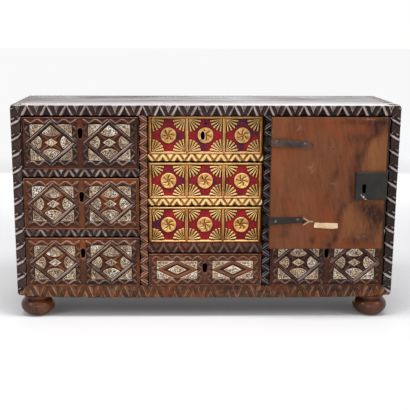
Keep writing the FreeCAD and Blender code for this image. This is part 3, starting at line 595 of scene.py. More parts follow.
edges = {"dark": {"period": 40.0, "feet": (11.0, 11.0), "start": 10.0, "ribbon": 2.2, "inside": (slope, slope),
                  "outside": ((0, 0), (2.4, 2.8), (6, 3.4)), "island": (6.4, 9.0)},
         "upright": {"period": 39.3, "feet": (19.65, 19.65), "start": 10.5, "ribbon": 1.8,
                     "inside": (((0, 0), (1.5, 2.2), (3.0, 1.8), (4.4, 0.9), (5.8, 2.6), (9, 3.4)),) * 2,
                     "outside": ((0, 0), (1.5, 2.4), (3.0, 1.8), (4.6, 0.9), (6.0, 2.6), (9, 3.4)),
                     "spread": 1.35},
         "gilt": {"period": 38.5, "feet": (11.0, 11.0), "start": 3.0, "ribbon": 4.4, "inside": (slope, slope),
                  "outside": ((0, 0), (1.6, 2.8), (6, 3.4)), "island": (8.4, 11.0)}}
# each board: its cut, wood, seed and how worn its crests are
boards = {"shelf_left_lower": ("dark", carvedWalnut, 110, 0.6),
          "shelf_left_upper": ("dark", carvedWalnut, 120, 0.9),
          "shelf_right_lower": ("dark", carvedWalnut, 130, 0.9),
          "shelf_right_upper": ("dark", carvedWalnut, 140, 0.9),
          "shelf_centre": ("dark", centreWalnut, 150, 0.3),
          "shelf_gilt_lower": ("gilt", gilding, 160, 1.0),
          "shelf_gilt_upper": ("gilt", gilding, 170, 1.0),
          "divider_left": ("upright", dividerWalnut, 180, 1.0),
          "divider_right": ("upright", shadedDivider, 190, 1.0)}
# where the bolt of the middle door goes into the left upright
boltPocket = ((-165, 21.5, 307), (-150, 30.5, 323))


def carvedEdge(node, kind, material, seed, worn):
    # the front edge of a board: chips along its length, straight walls behind
    low, high = span(node)
    middle = (low + high) / 2
    upright, gold = kind == "upright", kind == "gilt"
    x, z = gridOver(low, high, 0.8 if gold else 1.0)
    along, across = (z - middle[2], x - low[0]) if upright else (x - middle[0], z - low[2])
    width = (high - low)[0 if upright else 2]
    rim = np.minimum(across, width - across)
    recess = chipCut(along + 0.8 * smoothNoise(along, across, 25, seed),
                     across + 0.4 * smoothNoise(along, across, 20, seed + 1), width, **edges[kind])
    recess = recess + 0.2 * smoothNoise(along, across, 6, seed + 2) + upright * np.clip(1.4 - rim, 0, 1.4)
    recess = np.clip(recess, 0.05, 5.2)
    pale = np.clip(2.2 - recess, 0, 1) if gold else np.clip((1.4 - recess) / 0.8, 0, 0.5) * worn
    deep = 1.4 if upright else 2.0
    # deep cuts are darkened, with dirt and painted shade
    hollow = climb(recess, deep, deep + 2.6) * (0.5 if gold else 0.65)
    # painted shade: an upright is darkened along both edges, as the shadow gaps beside it
    hollow = hollow + upright * np.clip(1.6 - np.minimum(across - 1.6, rim), 0, 1.2)
    name = node.replace("shelf", "rail").replace("divider", "upright")
    return carvedBlock(name, x, z, recess, low[1], high[1], material, "case", 1.0 if gold else 0.7 * worn, hollow,
                       pale=pale, extra={"gold": np.full_like(recess, gold)}, replaced=(node,),
                       slot="gilding" if gold else "carved_walnut")


def cutOut(piece, low, high):
    # takes a box of case millimetres out of a finished piece
    xs, ys, zs = zip(low, high)
    corners = toFrame([(x, y, z) for x in xs for y in ys for z in zs])
    mesh = bpy.data.meshes.new("pocket")
    mesh.from_pydata(corners.tolist(), [], [(0, 1, 3, 2), (4, 6, 7, 5), (0, 4, 5, 1), (2, 3, 7, 6),
                                            (0, 2, 6, 4), (1, 5, 7, 3)])
    cutter = bpy.data.objects.new("pocket", mesh)
    bpy.context.scene.collection.objects.link(cutter)
    change = piece.modifiers.new("pocket", "BOOLEAN")
    change.object, change.solver = cutter, "EXACT"
    graph = bpy.context.evaluated_depsgraph_get()
    made = bpy.data.meshes.new_from_object(piece.evaluated_get(graph), preserve_all_data_layers=True,
                                           depsgraph=graph)
    piece.modifiers.clear()
    piece.data = made
    bpy.data.objects.remove(cutter)


carvedBoards = {node: carvedEdge(node, *look) for node, look in boards.items()}
cutOut(carvedBoards["divider_left"], *boltPocket)
print("uprights and shelves made")

chips = ((0, 0), (2.6, 2.2), (6, 3.0))
panels = {"border": 13.0, "field": (109.5, 94.5), "lozenge": (134.0, 115.0), "shift": 74.6,
          "period": (34.0, 29.4), "ribbon": 1.4,
          "band": ((-1.4, 4.4), (-0.4, 4.4), (0.5, 2.0), (1.4, 0.9), (2.6, 0.1), (4.2, 0.2), (4.8, 1.0),
                   (5.4, 1.3), (8.2, 3.7), (8.7, 5.9), (9.8, 5.6)),
          "bandWidth": 8.5, "bandWarm": 0.0, "arm": ((0, 2.6), (0.6, 2.9), (3.4, 4.6), (4.0, 5.5)),
          "sideFan": (17.0, 28.5), "endFan": (23.5, 29.5), "centre": (33.0, 21.0),
          "fillet": ((0, 2.4), (0.8, 1.3), (1.8, 1.3), (2.8, 3.6), (4.2, 4.2)), "floor": 5.5}
lowPanels = dict(panels, field=(109.5, 50.5), lozenge=(109.5, 50.5), shift=74.2, period=(27.4, 25.0),
                 centre=(49.0, 25.0), bandWidth=8.0, bandWarm=0.8,
                 band=((-0.6, 5.5), (0.2, 3.4), (1.6, 2.8), (3.4, 3.0), (4.2, 2.0), (5.2, 3.0), (7.2, 3.2),
                       (8.2, 5.5)))
doorPanels = dict(panels, field=(108.0, 128.0), lozenge=(126.0, 146.0), shift=71.5, period=(33.5, 30.8))
keyShape = ((-13.0, 3.0), (-10.0, 4.6), (-3.0, 5.4), (4.0, 6.2), (9.0, 5.6), (12.0, 3.6), (13.2, 0.0))
# each front: drawer, panels, rise of the panels and of the keyhole over its middle, wood, bone, seed,
# share of fresher wood
fronts = (("left_bottom", panels, -2.0, 23.0, drawerWalnut, bone, 242, 1.0),
          ("left_middle", panels, 0.0, 18.5, drawerWalnut, bone, 242, 1.0),
          ("left_top", panels, 2.5, 26.0, darkDrawer, bone, 221, 0.6),
          ("right_bottom", panels, -2.0, 23.0, darkDrawer, cleanBone, 342, 0.35),
          ("right_middle", panels, 0.0, 18.5, darkDrawer, cleanBone, 342, 0.35),
          ("right_top", panels, 2.5, 26.0, darkDrawer, cleanBone, 321, 0.35),
          ("centre_low", lowPanels, 0.0, 5.0, lowWalnut, cleanBone, 400, 0.5))


def keyGap(x, z):
    # how far a point is inside a keyhole centred on nought, measured across
    heights, halves = zip(*keyShape)
    return np.minimum(np.interp(z, heights, halves, left=-9, right=-9) - np.abs(x), z - heights[0])


def rhombDepth(dx, dz, size):
    # distance inside the sides of a rhombus about nought
    a, b = size[0] / 2, size[1] / 2
    return (1 - np.abs(dx) / a - np.abs(dz) / b) * a * b / math.hypot(a, b)


def inlaidRecess(x, z, low, high, middles, panel, key, seed, keyDepth=15.0, beside=0.0, fresh=1.0):
    # Depth of a dark front behind its crest plane: fillet round the edge, and for each panel a
    # border of chips, a sunk field and a raised rhombus band with ridged arms inside.
    # Given back with it: how far slopes that look left count as lit, and the block's other looks.
    a, c = x + 0.5 * smoothNoise(x, z, 24, seed), z + 0.5 * smoothNoise(x, z, 24, seed + 1)
    recess = profile(edgeDepth(x, z, low, high), panel["fillet"])
    warm = np.interp(high[2] - z, (0, 9, 13), (1.0, 1.0, 0.6))
    crest, leaning = np.full_like(recess, 0.4), np.zeros_like(recess)
    la, lb = (s / 2 for s in panel["lozenge"])
    for px, pz in middles:
        dx, dz = a - px, c - pz
        acrossX, acrossZ = (s / 2 + panel["border"] - np.abs(d) for s, d in zip(panel["field"], (dx, dz)))
        inPad = np.minimum(acrossX, acrossZ)
        onPad = climb(inPad, 0, 0.9)
        overX, overZ = (chipCut(t, s, panel["border"], p, (p / 2, p / 2), p / 2, panel["ribbon"], (chips, chips),
                                chips) for t, s, p in zip((dx, dz), (acrossZ, acrossX), panel["period"]))
        recess = blend(recess, 0.9 + np.where(acrossX < acrossZ, overZ, overX), onPad)
        recess = blend(recess, panel["floor"], climb(inPad - panel["border"], -0.4, 0.4))
        warm = blend(warm, 0.6 * ((acrossZ < 7) & (dz > 0)), onPad)
        crest = blend(crest, np.where((dz < 0) & (acrossZ < acrossX), 0.4, 0.2), onPad)
        deep = rhombDepth(dx, dz, panel["lozenge"])
        band = profile(deep, panel["band"])
        onBand = (deep > -1.4) & (deep < panel["bandWidth"] + 0.8)
        recess = np.where(onBand, np.where(deep < 0.2, np.maximum(recess, band), band), recess)
        # painted highlight: the band's arms that run like / are made a little paler, as lit from the left
        crest = np.where(onBand, 0.4 + 0.1 * (dx * dz < 0), crest)
        leaning = np.where(onBand, 0.5, leaning)
        warm = np.where(onBand, panel["bandWarm"], warm)
        warm = np.where(deep > panel["bandWidth"], 0.6 * (dz > -20), warm)
        if panel["lozenge"] != panel["field"]:
            # two broad ridges cross the middle, each running between the middles of opposite sides
            ridge = np.minimum(*(np.abs(dz * la - sign * dx * lb) / math.hypot(la, lb) for sign in (-1, 1)))
            inner = (deep > panel["bandWidth"] + 0.3) & (rhombDepth(dx, dz, panel["centre"]) < -1.2)
            recess = np.where(inner, np.minimum(recess, profile(ridge, panel["arm"])), recess)
    recess = soften(recess, 1) + 0.22 * smoothNoise(x, z, 5, seed + 2)
    hole = climb(keyGap(x - key[0], z - key[1]), -0.5, 0.3)
    recess = np.clip(blend(recess, keyDepth, hole), 0.02, keyDepth)
    # deep cuts are darkened with dirt and painted shade, beside adds a painted shadow, and the keyhole is painted
    # black as its shade
    hollow = np.maximum(0.5 * climb(recess, 2.6, 5.2) + beside, 2 * hole)
    return recess, leaning, {"crest": crest, "hollow": hollow, "extra": {"warm": warm * fresh}}


def edgeGap(points, outline):
    # shortest distance from each point to the sides of a closed outline
    along = np.roll(outline, -1, 0) - outline
    gap = points[:, None] - outline[None]
    share = np.clip((gap * along).sum(-1) / np.maximum((along ** 2).sum(-1), 1e-9), 0, 1)
    return np.linalg.norm(gap - share[..., None] * along, axis=-1).min(1)


def arcAhead(corner, point, size, spread, count=9):
    # the round far end of a fan: an arc through the ends of its straight sides, reach ahead of its corner
    half, reach = size
    rise = reach - spread
    radius = (half * half + rise * rise) / (2 * rise)
    turn = math.asin(half / radius) * np.linspace(-1, 1, count)
    ahead, across = reach - radius + radius * np.cos(turn), radius * np.sin(turn)
    return np.stack([corner[0] + point[0] * ahead - point[1] * across,
                     corner[1] + point[1] * ahead + point[0] * across], -1)


def plaqueSides(px, pz, panel, gap=1.0):
    # for each plaque of a panel its near and far edge, as rows of (x, z) that run the same way
    field, lozenge = panel["field"], panel["lozenge"]
    a, b = lozenge[0] / 2, lozenge[1] / 2
    side = a * b / math.hypot(a, b)
    tall = lozenge != field
    w, h = field[0] / 2 - gap, field[1] / 2 - gap
    reach = 1 + (2.0 if tall else 1.0) / side
    cutX, cutZ = a * (reach - h / b), b * (reach - w / a)
    result = []
    for sx in (-1, 1):
        for sz in (-1, 1):
            corner = np.array((w * sx, h * sz))
            ends = np.array(((cutX * sx, h * sz), (w * sx, cutZ * sz)))
            result.append((corner + (ends - corner) * 0.04, ends))
    cw, ch = panel["centre"][0] / 2, panel["centre"][1] / 2
    result.append((np.array(((-cw, 0), (0, -ch))), np.array(((0, ch), (cw, 0)))))
    if tall:
        inside = 1 - (panel["bandWidth"] + gap) / side
        a, b = a * inside, b * inside
        for s in (-1, 1):
            for corner, point, fan, ratio in (((s * a, 0), (-s, 0), "sideFan", a / b),
                                              ((0, s * b), (0, -s), "endFan", b / a)):
                far = arcAhead(corner, point, panel[fan], panel[fan][0] * ratio)
                result.append((np.array(corner) + (far - corner) * 0.04, far))
    return [(near + (px, pz), far + (px, pz)) for near, far in result]


def plaques(body, middles, panel, material, facing=1, front=0.0):
    # each plaque is a patch between two opposite edges, domed at its rim and shut by a flat back
    floor, top = panel["floor"], panel["floor"] - 2.0
    share = np.array([0, 0.02, 0.06, 0.12, 0.25, 0.42, 0.58, 0.75, 0.88, 0.94, 0.98, 1])
    points, faces, walls, backs, rims = [], [], [], [], []
    start = 0
    for near, far in (pair for px, pz in middles for pair in plaqueSides(px, pz, panel)):
        steps = np.linspace(0, 1, len(near))
        near, far = (np.stack([np.interp(share, steps, e[:, k]) for k in (0, 1)], -1)[None] for e in (near, far))
        flat = blend(near, far, share[:, None, None])
        turnSign = np.cross(flat[0, -1] - flat[0, 0], flat[-1, 0] - flat[0, 0])
        if (turnSign < 0) != (facing < 0):
            flat = flat[:, ::-1]
        flat = flat.reshape(-1, 2)
        ring = ringOf(len(share), len(share))
        gap = edgeGap(flat, flat[ring])
        depth = profile(gap, ((0, floor + 0.3), (0.25, top + 0.4), (0.9, top - 0.1), (1.8, top - 0.1),
                              (2.4, top + 0.25)))
        depth = depth + 0.12 * smoothNoise(flat[:, 0], flat[:, 1], 5, 77)
        rear = np.stack([flat[ring, 0], np.full(len(ring), front + facing * (floor + 0.6)), flat[ring, 1]], -1)
        points += [np.stack([flat[:, 0], front + facing * depth, flat[:, 1]], -1), rear]
        rims += [climb(np.abs(gap - 0.8), 1.2, 0), np.zeros(len(ring))]
        ring = ring + start
        back = np.arange(len(ring)) + start + len(flat)
        faces.append(gridFaces(len(share), len(share), start))
        walls.append(np.stack([ring, back, np.roll(back, -1), np.roll(ring, -1)], -1))
        backs.append(back[::-1])
        start += len(flat) + len(back)
    faces = [np.concatenate(faces), np.concatenate(walls), np.stack(backs)]
    addMesh(body + "_bone", np.concatenate(points), faces, material, body, (body + "_inlay",), "bone",
            {"rim": np.concatenate(rims)}, [True, False, False])


def inlaidFront(body, panel, rise, keyRise, material, boneLook, seed, fresh):
    node = body + "_front"
    low, high = span(node)
    middle = (low + high) / 2
    middles = [(middle[0] + s * panel["shift"], middle[2] + rise) for s in (-1, 1)]
    x, z = gridOver(low, high, 1.0)
    # painted shadow: the front is darkened at both ends, where the frame beside it shades it, wider on the top
    # drawers
    shade = 4.4 if "top" in body else 2.8
    beside = 0.9 * np.clip(shade - np.minimum(x - low[0], high[0] - x), 0, 1)
    key = (middle[0], middle[2] + keyRise)
    recess, leaning, looks = inlaidRecess(x, z, low, high, middles, panel, key, seed, beside=beside, fresh=fresh)
    carvedBlock(body + "_face", x, z, recess, 0.0, high[1], material, body, ledge=(z - low[2] > 5) * 0.9,
                left=leaning, replaced=(node,), slot="drawer_walnut", **looks)
    plaques(body, middles, panel, boneLook)


for drawer, *look in fronts:
    inlaidFront("drawer_" + drawer, *look)
print("dark drawer fronts made")

gilt = {"step": 0.8, "pitch": 97.0, "field": 86.5, "fillet": 7.5, "fan": 32.0, "rays": 5, "disc": 21.0,
        "blades": 6, "key": (-7.2, -0.5), "keySize": 7.2, "keyDepth": 14.0, "nailHole": (0.5, 31.0, 1.7),
        # tables of (distance, depth): frame out from a panel's edge, rayOut from its corner, rayOff from a
        # ray's crest, boss from a disc's middle; whirl is how strong the curved cuts are there
        "frame": ((-0.6, 4.5), (0.2, 3.6), (1.5, 3.2), (2.4, 0.8), (3.4, 0.1), (6.2, 0.2), (7.4, 1.2),
                  (9.0, 1.4)),
        "rayOut": ((0, 1.4), (8, 1.6), (24, 0.3), (30, 1.0)),
        "rayOff": ((0, 0), (0.32, 0.25), (0.56, 2.6), (0.7, 4.0), (1, 4.2)),
        "boss": ((0, 2.0), (5, 2.2), (12, 1.9), (16.5, 0.5), (18.2, 0.1), (19.6, 0.5), (20.6, 2.0),
                 (21.2, 4.4)),
        "whirl": ((0, 0.2), (2, 1), (14, 1), (17, 0))}


def giltFront(body, seed, crest, dirtAndShade, key=None):
    # Three square panels side by side, each framed by a bead. In its corners stand fans of round-ended
    # rays whose crests lie along radii; in its middle a dished disc with a whirl of curved cuts.
    low, high = span(body + "_front")
    x, z = gridOver(low, high, gilt["step"])
    middle = (low + high) / 2
    dz = z - middle[2]
    nearest = np.clip(np.round((x - middle[0]) / gilt["pitch"]), -1, 1)
    dx = x - middle[0] - nearest * gilt["pitch"]
    dx, dz = dx + 0.35 * smoothNoise(x, z, 18, seed), dz + 0.35 * smoothNoise(x, z, 18, seed + 1)
    fx, fz = gilt["field"] / 2 - np.abs(dx), (high - low)[2] / 2 - gilt["fillet"] - np.abs(dz)
    inside = np.minimum(fx, fz)
    recess = profile(-inside, gilt["frame"])
    between = (np.abs(x - middle[0]) < 1.5 * gilt["pitch"] - 3) & (fx < 0)
    recess = recess + between * 1.8 * np.exp(-((-fx - 5.25) / 0.8) ** 2)
    gold = np.clip(1 - inside / 0.5, 0, 1)
    # the fans: wave runs from 0 on a ray's crest to 1 between two rays, strong is how deep they are cut
    radius, angle = np.hypot(fx, fz), np.arctan2(fz, fx) / (math.pi / 2)
    wave = np.abs(((angle * gilt["rays"]) % 1) * 2 - 1)
    strong = 0.25 * smoothNoise(np.sign(dx) * 90 + nearest * 300, np.sign(dz) * 90, 40, seed + 9)
    strong = np.clip(0.72 + 0.2 * (dz > 0) + (x - middle[0]) / 900 + strong, 0.4, 1.1)
    ray = profile(radius, gilt["rayOut"]) + strong * climb(radius, 5.5, 9.5) * profile(wave, gilt["rayOff"])
    inFan = (inside > 0) & (radius < gilt["fan"] - 2.8 * wave ** 2)
    recess = np.where(inFan, np.minimum(recess, ray), recess)
    gold = np.where(inFan, 1.0, gold)
    # the disc: petal runs from 0 to 1 between two cuts
    r, turn = np.hypot(dx, dz), np.arctan2(dz, dx) / (2 * math.pi)
    petal = (turn * gilt["blades"] + r / 26.0 + nearest * 0.3 + seed * 0.17) % 1
    groove = np.clip(1.25 - (1 - 2 * np.abs(petal - 0.5)) * r * 0.26, 0, 1) * profile(r, gilt["whirl"])
    onDisc = r < gilt["disc"]
    recess = np.where(onDisc, np.minimum(recess, profile(r, gilt["boss"]) + 1.9 * groove), recess)
    gold = np.where(r < gilt["disc"] - 0.2, 1.0, gold)
    edge, onFrame = edgeDepth(x, z, low, high), (inside < 0) & ~onDisc
    # dirt and painted shade lie in the cuts, the shallower fans are darker, a painted shadow rings the disc, most
    # below it, and painted shade and dirt fill the joint round the front
    hollow = 0.34 * groove * onDisc + climb(recess, 2.2, 3.6) * np.where(inFan, 0.7 * strong, 0.25)
    discShadow = climb(np.abs(r - gilt["disc"] - 1), 2.2, 0) * (0.3 + 0.6 * (dz < 0)) * (inside > 0)
    hollow = np.maximum(hollow, discShadow) + 0.55 * (1.1 - strong) * inFan
    hollow = np.where(onFrame, 0.8 * climb(recess, 1.6, 3.2), hollow)
    hollow = np.maximum(hollow, np.clip(1.6 - edge, 0, 1))
    recess, gold, hollow = (soften(k, 1) for k in (recess, gold, hollow))
    recess = recess + 1.4 * climb(edge, 1.2, 0) + 0.15 * smoothNoise(x, z, 5, seed + 2)
    if key:
        kx, kz = x - middle[0] - key[0], z - middle[2] - key[1]
        gap = gilt["keySize"] - np.hypot(kx * 1.3, kz * 0.66 + 0.06 * kx)
        nailX, nailZ, size = gilt["nailHole"]
        hole = climb(np.maximum(gap, size - np.hypot(x - nailX, z - middle[2] - nailZ)), -0.5, 0.3)
        gold = np.where(gap > -1.8, 1.0, gold)
        # the keyhole and the nail hole are painted black, as the shade inside them
        hollow = np.maximum(hollow * (gap < -2.2), hole * 2)
        recess = np.where((gap > -2.4) & (hole < 0.1), np.minimum(recess, 0.6), recess)
        recess = blend(recess, gilt["keyDepth"], hole)
    # painted shading: each blade of the disc runs from light to dark across it
    pale = onDisc * (0.2 + 0.5 * np.clip((petal - 0.35) * 2.2, 0, 1)) * (1 - groove) * (recess < 6)
    warm = onFrame * (0.35 + 0.5 * (z < low[2] + 11))
    recess = np.clip(recess, 0.02, gilt["keyDepth"])
    carvedBlock(body + "_face", x, z, recess, low[1], high[1], gilding, body, crest,
                hollow * dirtAndShade + 0.5 * (hollow > 1.5), pale=pale, reach=6, extra={"gold": gold, "warm": warm},
                replaced=(body + "_front",), slot="gilding")


# painted light: the top drawer's leaf is painted brighter and cleaner, the lower ones darker, as the light falls
# on them
giltFront("drawer_gilt_bottom", 500, crest=0.85, dirtAndShade=1.0)
giltFront("drawer_gilt_middle", 520, crest=0.95, dirtAndShade=1.0)
giltFront("drawer_gilt_top", 540, crest=1.3, dirtAndShade=0.8, key=gilt["key"])
print("gilt drawer fronts made")

doorLook = {"key": (403.0, 297.0), "step": 1.2, "thick": 10.0, "nailEnd": (322, 397, 2.2), "fork": (260, 209),
            # right of each curve, given by heights and places, the sapwood shows between two heights
            "upper": ((300, 333, 371, 399, 421, 436, 442), (391, 391, 396, 407, 419, 432, 462)),
            "lower": ((136, 155, 181, 213, 237, 257, 266), (338, 342, 346, 351, 355, 362, 396)),
            # each mark: middle, half width, half height, lean, strength, grain of its ragged edge
            "stainsAndShadow": ((400, 466, 70, 9, 0, 0.6, 20), (430, 450, 34, 22, 0, 0.7, 16),
                       (332, 335, 9, 85, 0.35, 0.34, 12), (376, 372, 9, 50, 0.25, 0.3, 10),
                       (203, 274, 10, 22, 0, 0.3, 8), (430, 238, 28, 26, -0.4, 1.1, 22),
                       (432, 198, 30, 36, 0, 0.75, 20), (385, 160, 60, 16, 0, 0.3, 9),
                       (202, 177, 14, 12, 0, 0.3, 8), (278, 158, 14, 14, 0, 0.4, 8),
                       (322, 146, 12, 9, 0, 0.5, 8), (337, 165, 7, 22, 0.3, 0.4, 8),
                       # (374, 298) is a painted shadow left of the lock
                       (324, 185.5, 3, 2, 0, 0.9, 9), (374, 298, 6, 38, 0, 0.5, 30),
                       (230, 432, 22, 12, 0, 0.3, 9), (385, 425, 40, 16, 0.5, 0.4, 24)),
            "scrapesAndGlint": ((212, 452, 44, 24, 0, 0.42, 12), (290, 338, 26, 12, -0.4, 0.2, 7),
                        (250, 368, 10, 30, -0.6, 0.34, 6), (275, 350, 50, 30, 0, 0.34, 12),
                        (323, 308, 9, 6, 0, 0.4, 4), (380, 182, 34, 14, 0, 0.36, 7),
                        # (420, 472) is a painted highlight along the top edge
                        (404, 166, 24, 9, 0, 0.34, 6), (420, 472, 50, 2.2, 0, 0.5, 30))}


def doorMarks(kind, x, z):
    # soft spots with ragged edges, added up
    total = 0 * x
    for number, (px, pz, wide, tall, lean, strength, size) in enumerate(doorLook[kind]):
        ragged = 0.6 * smoothNoise(x, z * 0.6, size * 1.5, 611 + number) + \
            0.35 * smoothNoise(x * 1.4 - z * 0.3, z * 0.4, 4, 641 + number)
        spot = np.exp(-((x - px - lean * (z - pz)) / wide) ** 2 - ((z - pz) / tall) ** 2)
        total = total + strength * np.clip(0.7 + ragged, 0, 1.1) * spot
    return total


def doorInner(low, high, x, z):
    # Plain, a little wavy, its edges rubbed. Sapwood shows right of two leaning curves,
    # dark stains follow their edges, and old scrapes leave the middle and the upper left corner paler.
    edge = edgeDepth(x, z, low, high)
    recess = 0.6 + 0.25 * smoothNoise(x, z, 40, 601) + 0.12 * smoothNoise(x, z * 0.15, 5, 602) + \
        np.interp(edge, (0, 1.2, 3), (1.0, 0.25, 0))
    ragged = 5 * smoothNoise(x, z * 0.3, 16, 603) + 2.5 * smoothNoise(x, z * 0.2, 6, 604)
    upper, lower = (x + ragged - np.interp(z, *doorLook[k]) for k in ("upper", "lower"))
    inUpper = climb(upper, 0, 10) * climb(z, 300, 320) * climb(z, 446, 424)
    inLower = climb(lower, 0, 10) * climb(z, 272, 260) * climb(z, 150, 168)
    # besides stains the marks hold a painted shadow left of the lock, and besides scrapes a painted highlight
    # along the top edge
    stain, scrapeAndGlint = doorMarks("stainsAndShadow", x, z), doorMarks("scrapesAndGlint", x, z)
    stain = stain + 0.14 * np.clip(smoothNoise(x + z * 0.25, z * 0.12, 5, 605) * 1.6, 0, 1) + \
        0.12 * np.clip(smoothNoise(x, z * 0.5, 26, 606) * 1.6, 0, 1)
    for off, below, above in ((upper, 330, 440), (lower, 150, 270)):
        inRow = climb(z, below, below + 20) * climb(z, above, above - 20)
        stain = stain + 0.34 * np.exp(-((off + 7) / 8) ** 2) * inRow
    # a pale scar with two prongs toward the broken strap, and black grime between them
    px, pz = doorLook["fork"]
    dx, dz = x - px, z - pz
    prongs = [np.hypot(np.maximum(np.abs(dx) - 6.5, 0), dz + k * 0.62 * (dx - 7)) for k in (-1, 1)]
    fork = np.minimum(np.minimum(*prongs), np.hypot(np.maximum(np.abs(dx - 11) - 5, 0), dz))
    scrapeAndGlint = scrapeAndGlint + 1.6 * climb(fork, 2.4, 1.4)
    stain = stain + 0.6 * climb(np.hypot((dx + 5) * 0.8, dz), 7, 5) * (fork > 2.2)
    # the end of a nail in a pale ring, the free edge painted dark as the shadow in the gap beside it, the edges
    # all round a little darker, and the lock's keyhole painted black as the shade behind it
    nailX, nailZ, size = doorLook["nailEnd"]
    gap = np.hypot(x - nailX, z - nailZ)
    stain, scrapeAndGlint = stain + 0.9 * (gap < size), scrapeAndGlint + 0.6 * climb(np.abs(gap - size - 1), 1.5, 0)
    stain = stain + 0.9 * climb(x - high[0], -4.5, -2.0) + 0.35 * climb(edge, 2.5, 0.5)
    keyX, keyZ = doorLook["key"]
    stain = np.where(np.hypot(x - keyX, z - keyZ + 4) < 17, 1.4, np.minimum(stain, 0.9))
    looks = {"patch": np.clip(inUpper * 0.95 + inLower * 0.75, 0, 1), "hollow": np.clip(stain, 0, 1.4),
             "crest": np.clip(scrapeAndGlint + (edge < 1.5) * 0.2, 0, 1.2)}
    carvedBlock("door_inner", x, z, np.clip(recess, 0.02, 3), low[1], low[1] + doorLook["thick"], doorWalnut,
                "door", extra=looks, replaced=("door_leaf",), slot="door_walnut")


def doorOuter(low, high, x, z):
    # the drawers' panels, two by two, on the side that shows when the door is shut
    middle = (low + high) / 2
    middles = [(middle[0] + sx * doorPanels["shift"], middle[2] + sz * 80) for sx in (-1, 1) for sz in (-1, 1)]
    recess, _, looks = inlaidRecess(x, z, low, high, middles, doorPanels, doorLook["key"], 620, keyDepth=9.0)
    carvedBlock("door_outer", x, z, recess, high[1], low[1] + doorLook["thick"], drawerWalnut, "door",
                slot="door_walnut", **looks)
    plaques("door", middles, doorPanels, bone, -1, high[1])


label = {"middle": (311.0, 198.5), "size": (61.0, 14.0), "turn": math.radians(-2.0)}


def paperSlip():
    # a slip with uneven edges
    low, high = span("door_label")
    u, v = np.meshgrid(np.linspace(-0.5, 0.5, 49), np.linspace(-0.5, 0.5, 13))
    wide, tall = label["size"]
    x = u * (wide + 1.6 * smoothNoise(v * 30, v * 0, 5, 701))
    z = v * (tall + 1.8 * smoothNoise(u * 60, np.sign(v) * 20, 7, 702))
    cos, sin = math.cos(label["turn"]), math.sin(label["turn"])
    x, z = label["middle"][0] + x * cos - z * sin, label["middle"][1] + x * sin + z * cos
    recess = 0.12 + 0.1 * smoothNoise(u * 60, v * 14, 9, 703)
    carvedBlock("door_slip", x, z, recess, low[1], high[1], paper, "door", replaced=("door_label",),
                slot="paper")


leaf = span("door_leaf")
leafGrid = gridOver(*leaf, doorLook["step"])
doorInner(*leaf, *leafGrid)
doorOuter(*leaf, *leafGrid)
paperSlip()
print("door made")

backLook = {"step": 2.5, "seams": ((171, 4), (338, 5)), "rim": 8.0, "nails": 9, "uprights": (-157, 157)}


def backBoards():
    # three boards laid flat, planed a little hollow, with open joints and rows of nail heads
    low, high = span("case_back")
    x, z = gridOver(low, high, backLook["step"])
    recess = 0.7 + 0.35 * smoothNoise(x, z, 70, 801) + 0.15 * smoothNoise(x * 0.3, z, 7, 802)
    dark = 0 * x
    for height, seed in backLook["seams"]:
        gap = np.abs(z - height - 1.5 * smoothNoise(x, z * 0, 120, 803 + seed))
        recess, dark = recess + 1.8 * climb(gap, 2.6, 1.0), np.maximum(dark, climb(gap, 3, 1))
    tall = np.linspace(low[2] + 20, high[2] - 20, backLook["nails"])
    wide = np.linspace(low[0] + 30, high[0] - 30, backLook["nails"])
    rim = backLook["rim"]
    spots = np.array([(px, pz) for px in (low[0] + rim, high[0] - rim, *backLook["uprights"]) for pz in tall] +
                     [(px, pz) for px in wide for pz in (low[2] + rim, high[2] - rim)])
    spots = spots + 3 * np.sin(spots[:, ::-1] * 0.37)
    away = np.hypot(x[..., None] - spots[:, 0], z[..., None] - spots[:, 1]).min(-1)
    edge = edgeDepth(x, z, low, high)
    recess = recess + 0.6 * np.exp(-((away - 4) / 1.4) ** 2) + 0.9 * climb(edge, 3, 0)
    carvedBlock("back_boards", x, z, np.clip(recess, 0.05, 5), high[1], low[1], backWalnut, "case",
                hollow=np.maximum(dark, np.clip((5.2 - away) / 2.4, 0, 0.9)),
                pale=np.where(edge < 2.6, 0.6, 0.1 * smoothNoise(x * 0.1, z, 9, 805)),
                replaced=("case_back",), slot="case_walnut")


backBoards()

# finishes of the nodes that stay
for names, material in ((("case_top", "case_bottom"), caseWalnut),
                        (("case_side_left", "case_side_right"), sideWalnut),
                        (("hinge_pintles", "door_strap_upper", "door_lock_bolt"), iron),
                        (("door_nails",), nailIron),
                        (("door_strap_lower", "door_lock_case"), lockIron),
                        ([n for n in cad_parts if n.endswith("_box")], liningWood)):
    for name in names:
        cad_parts[name].data.materials[0] = material
print("back and plain nodes finished")

# profile: radius and height of the turned surface from the ground up
feet = {"centres": [(sx * 454.0, y) for y in (50.0, 295.0) for sx in (-1, 1)], "around": 48,
        "profile": ((18, -65), (24, -64.2), (32, -60.5), (39, -54.8), (44, -47.5), (46, -39.5), (44.6, -31),
                    (41, -24.6), (36.5, -20.2), (34.2, -18.6), (33.8, -17.6), (35.2, -16.4), (36.5, -13.4),
                    (36.4, -10.5), (34.8, -7.6), (32.4, -6.2), (32, -5), (32, 0))}


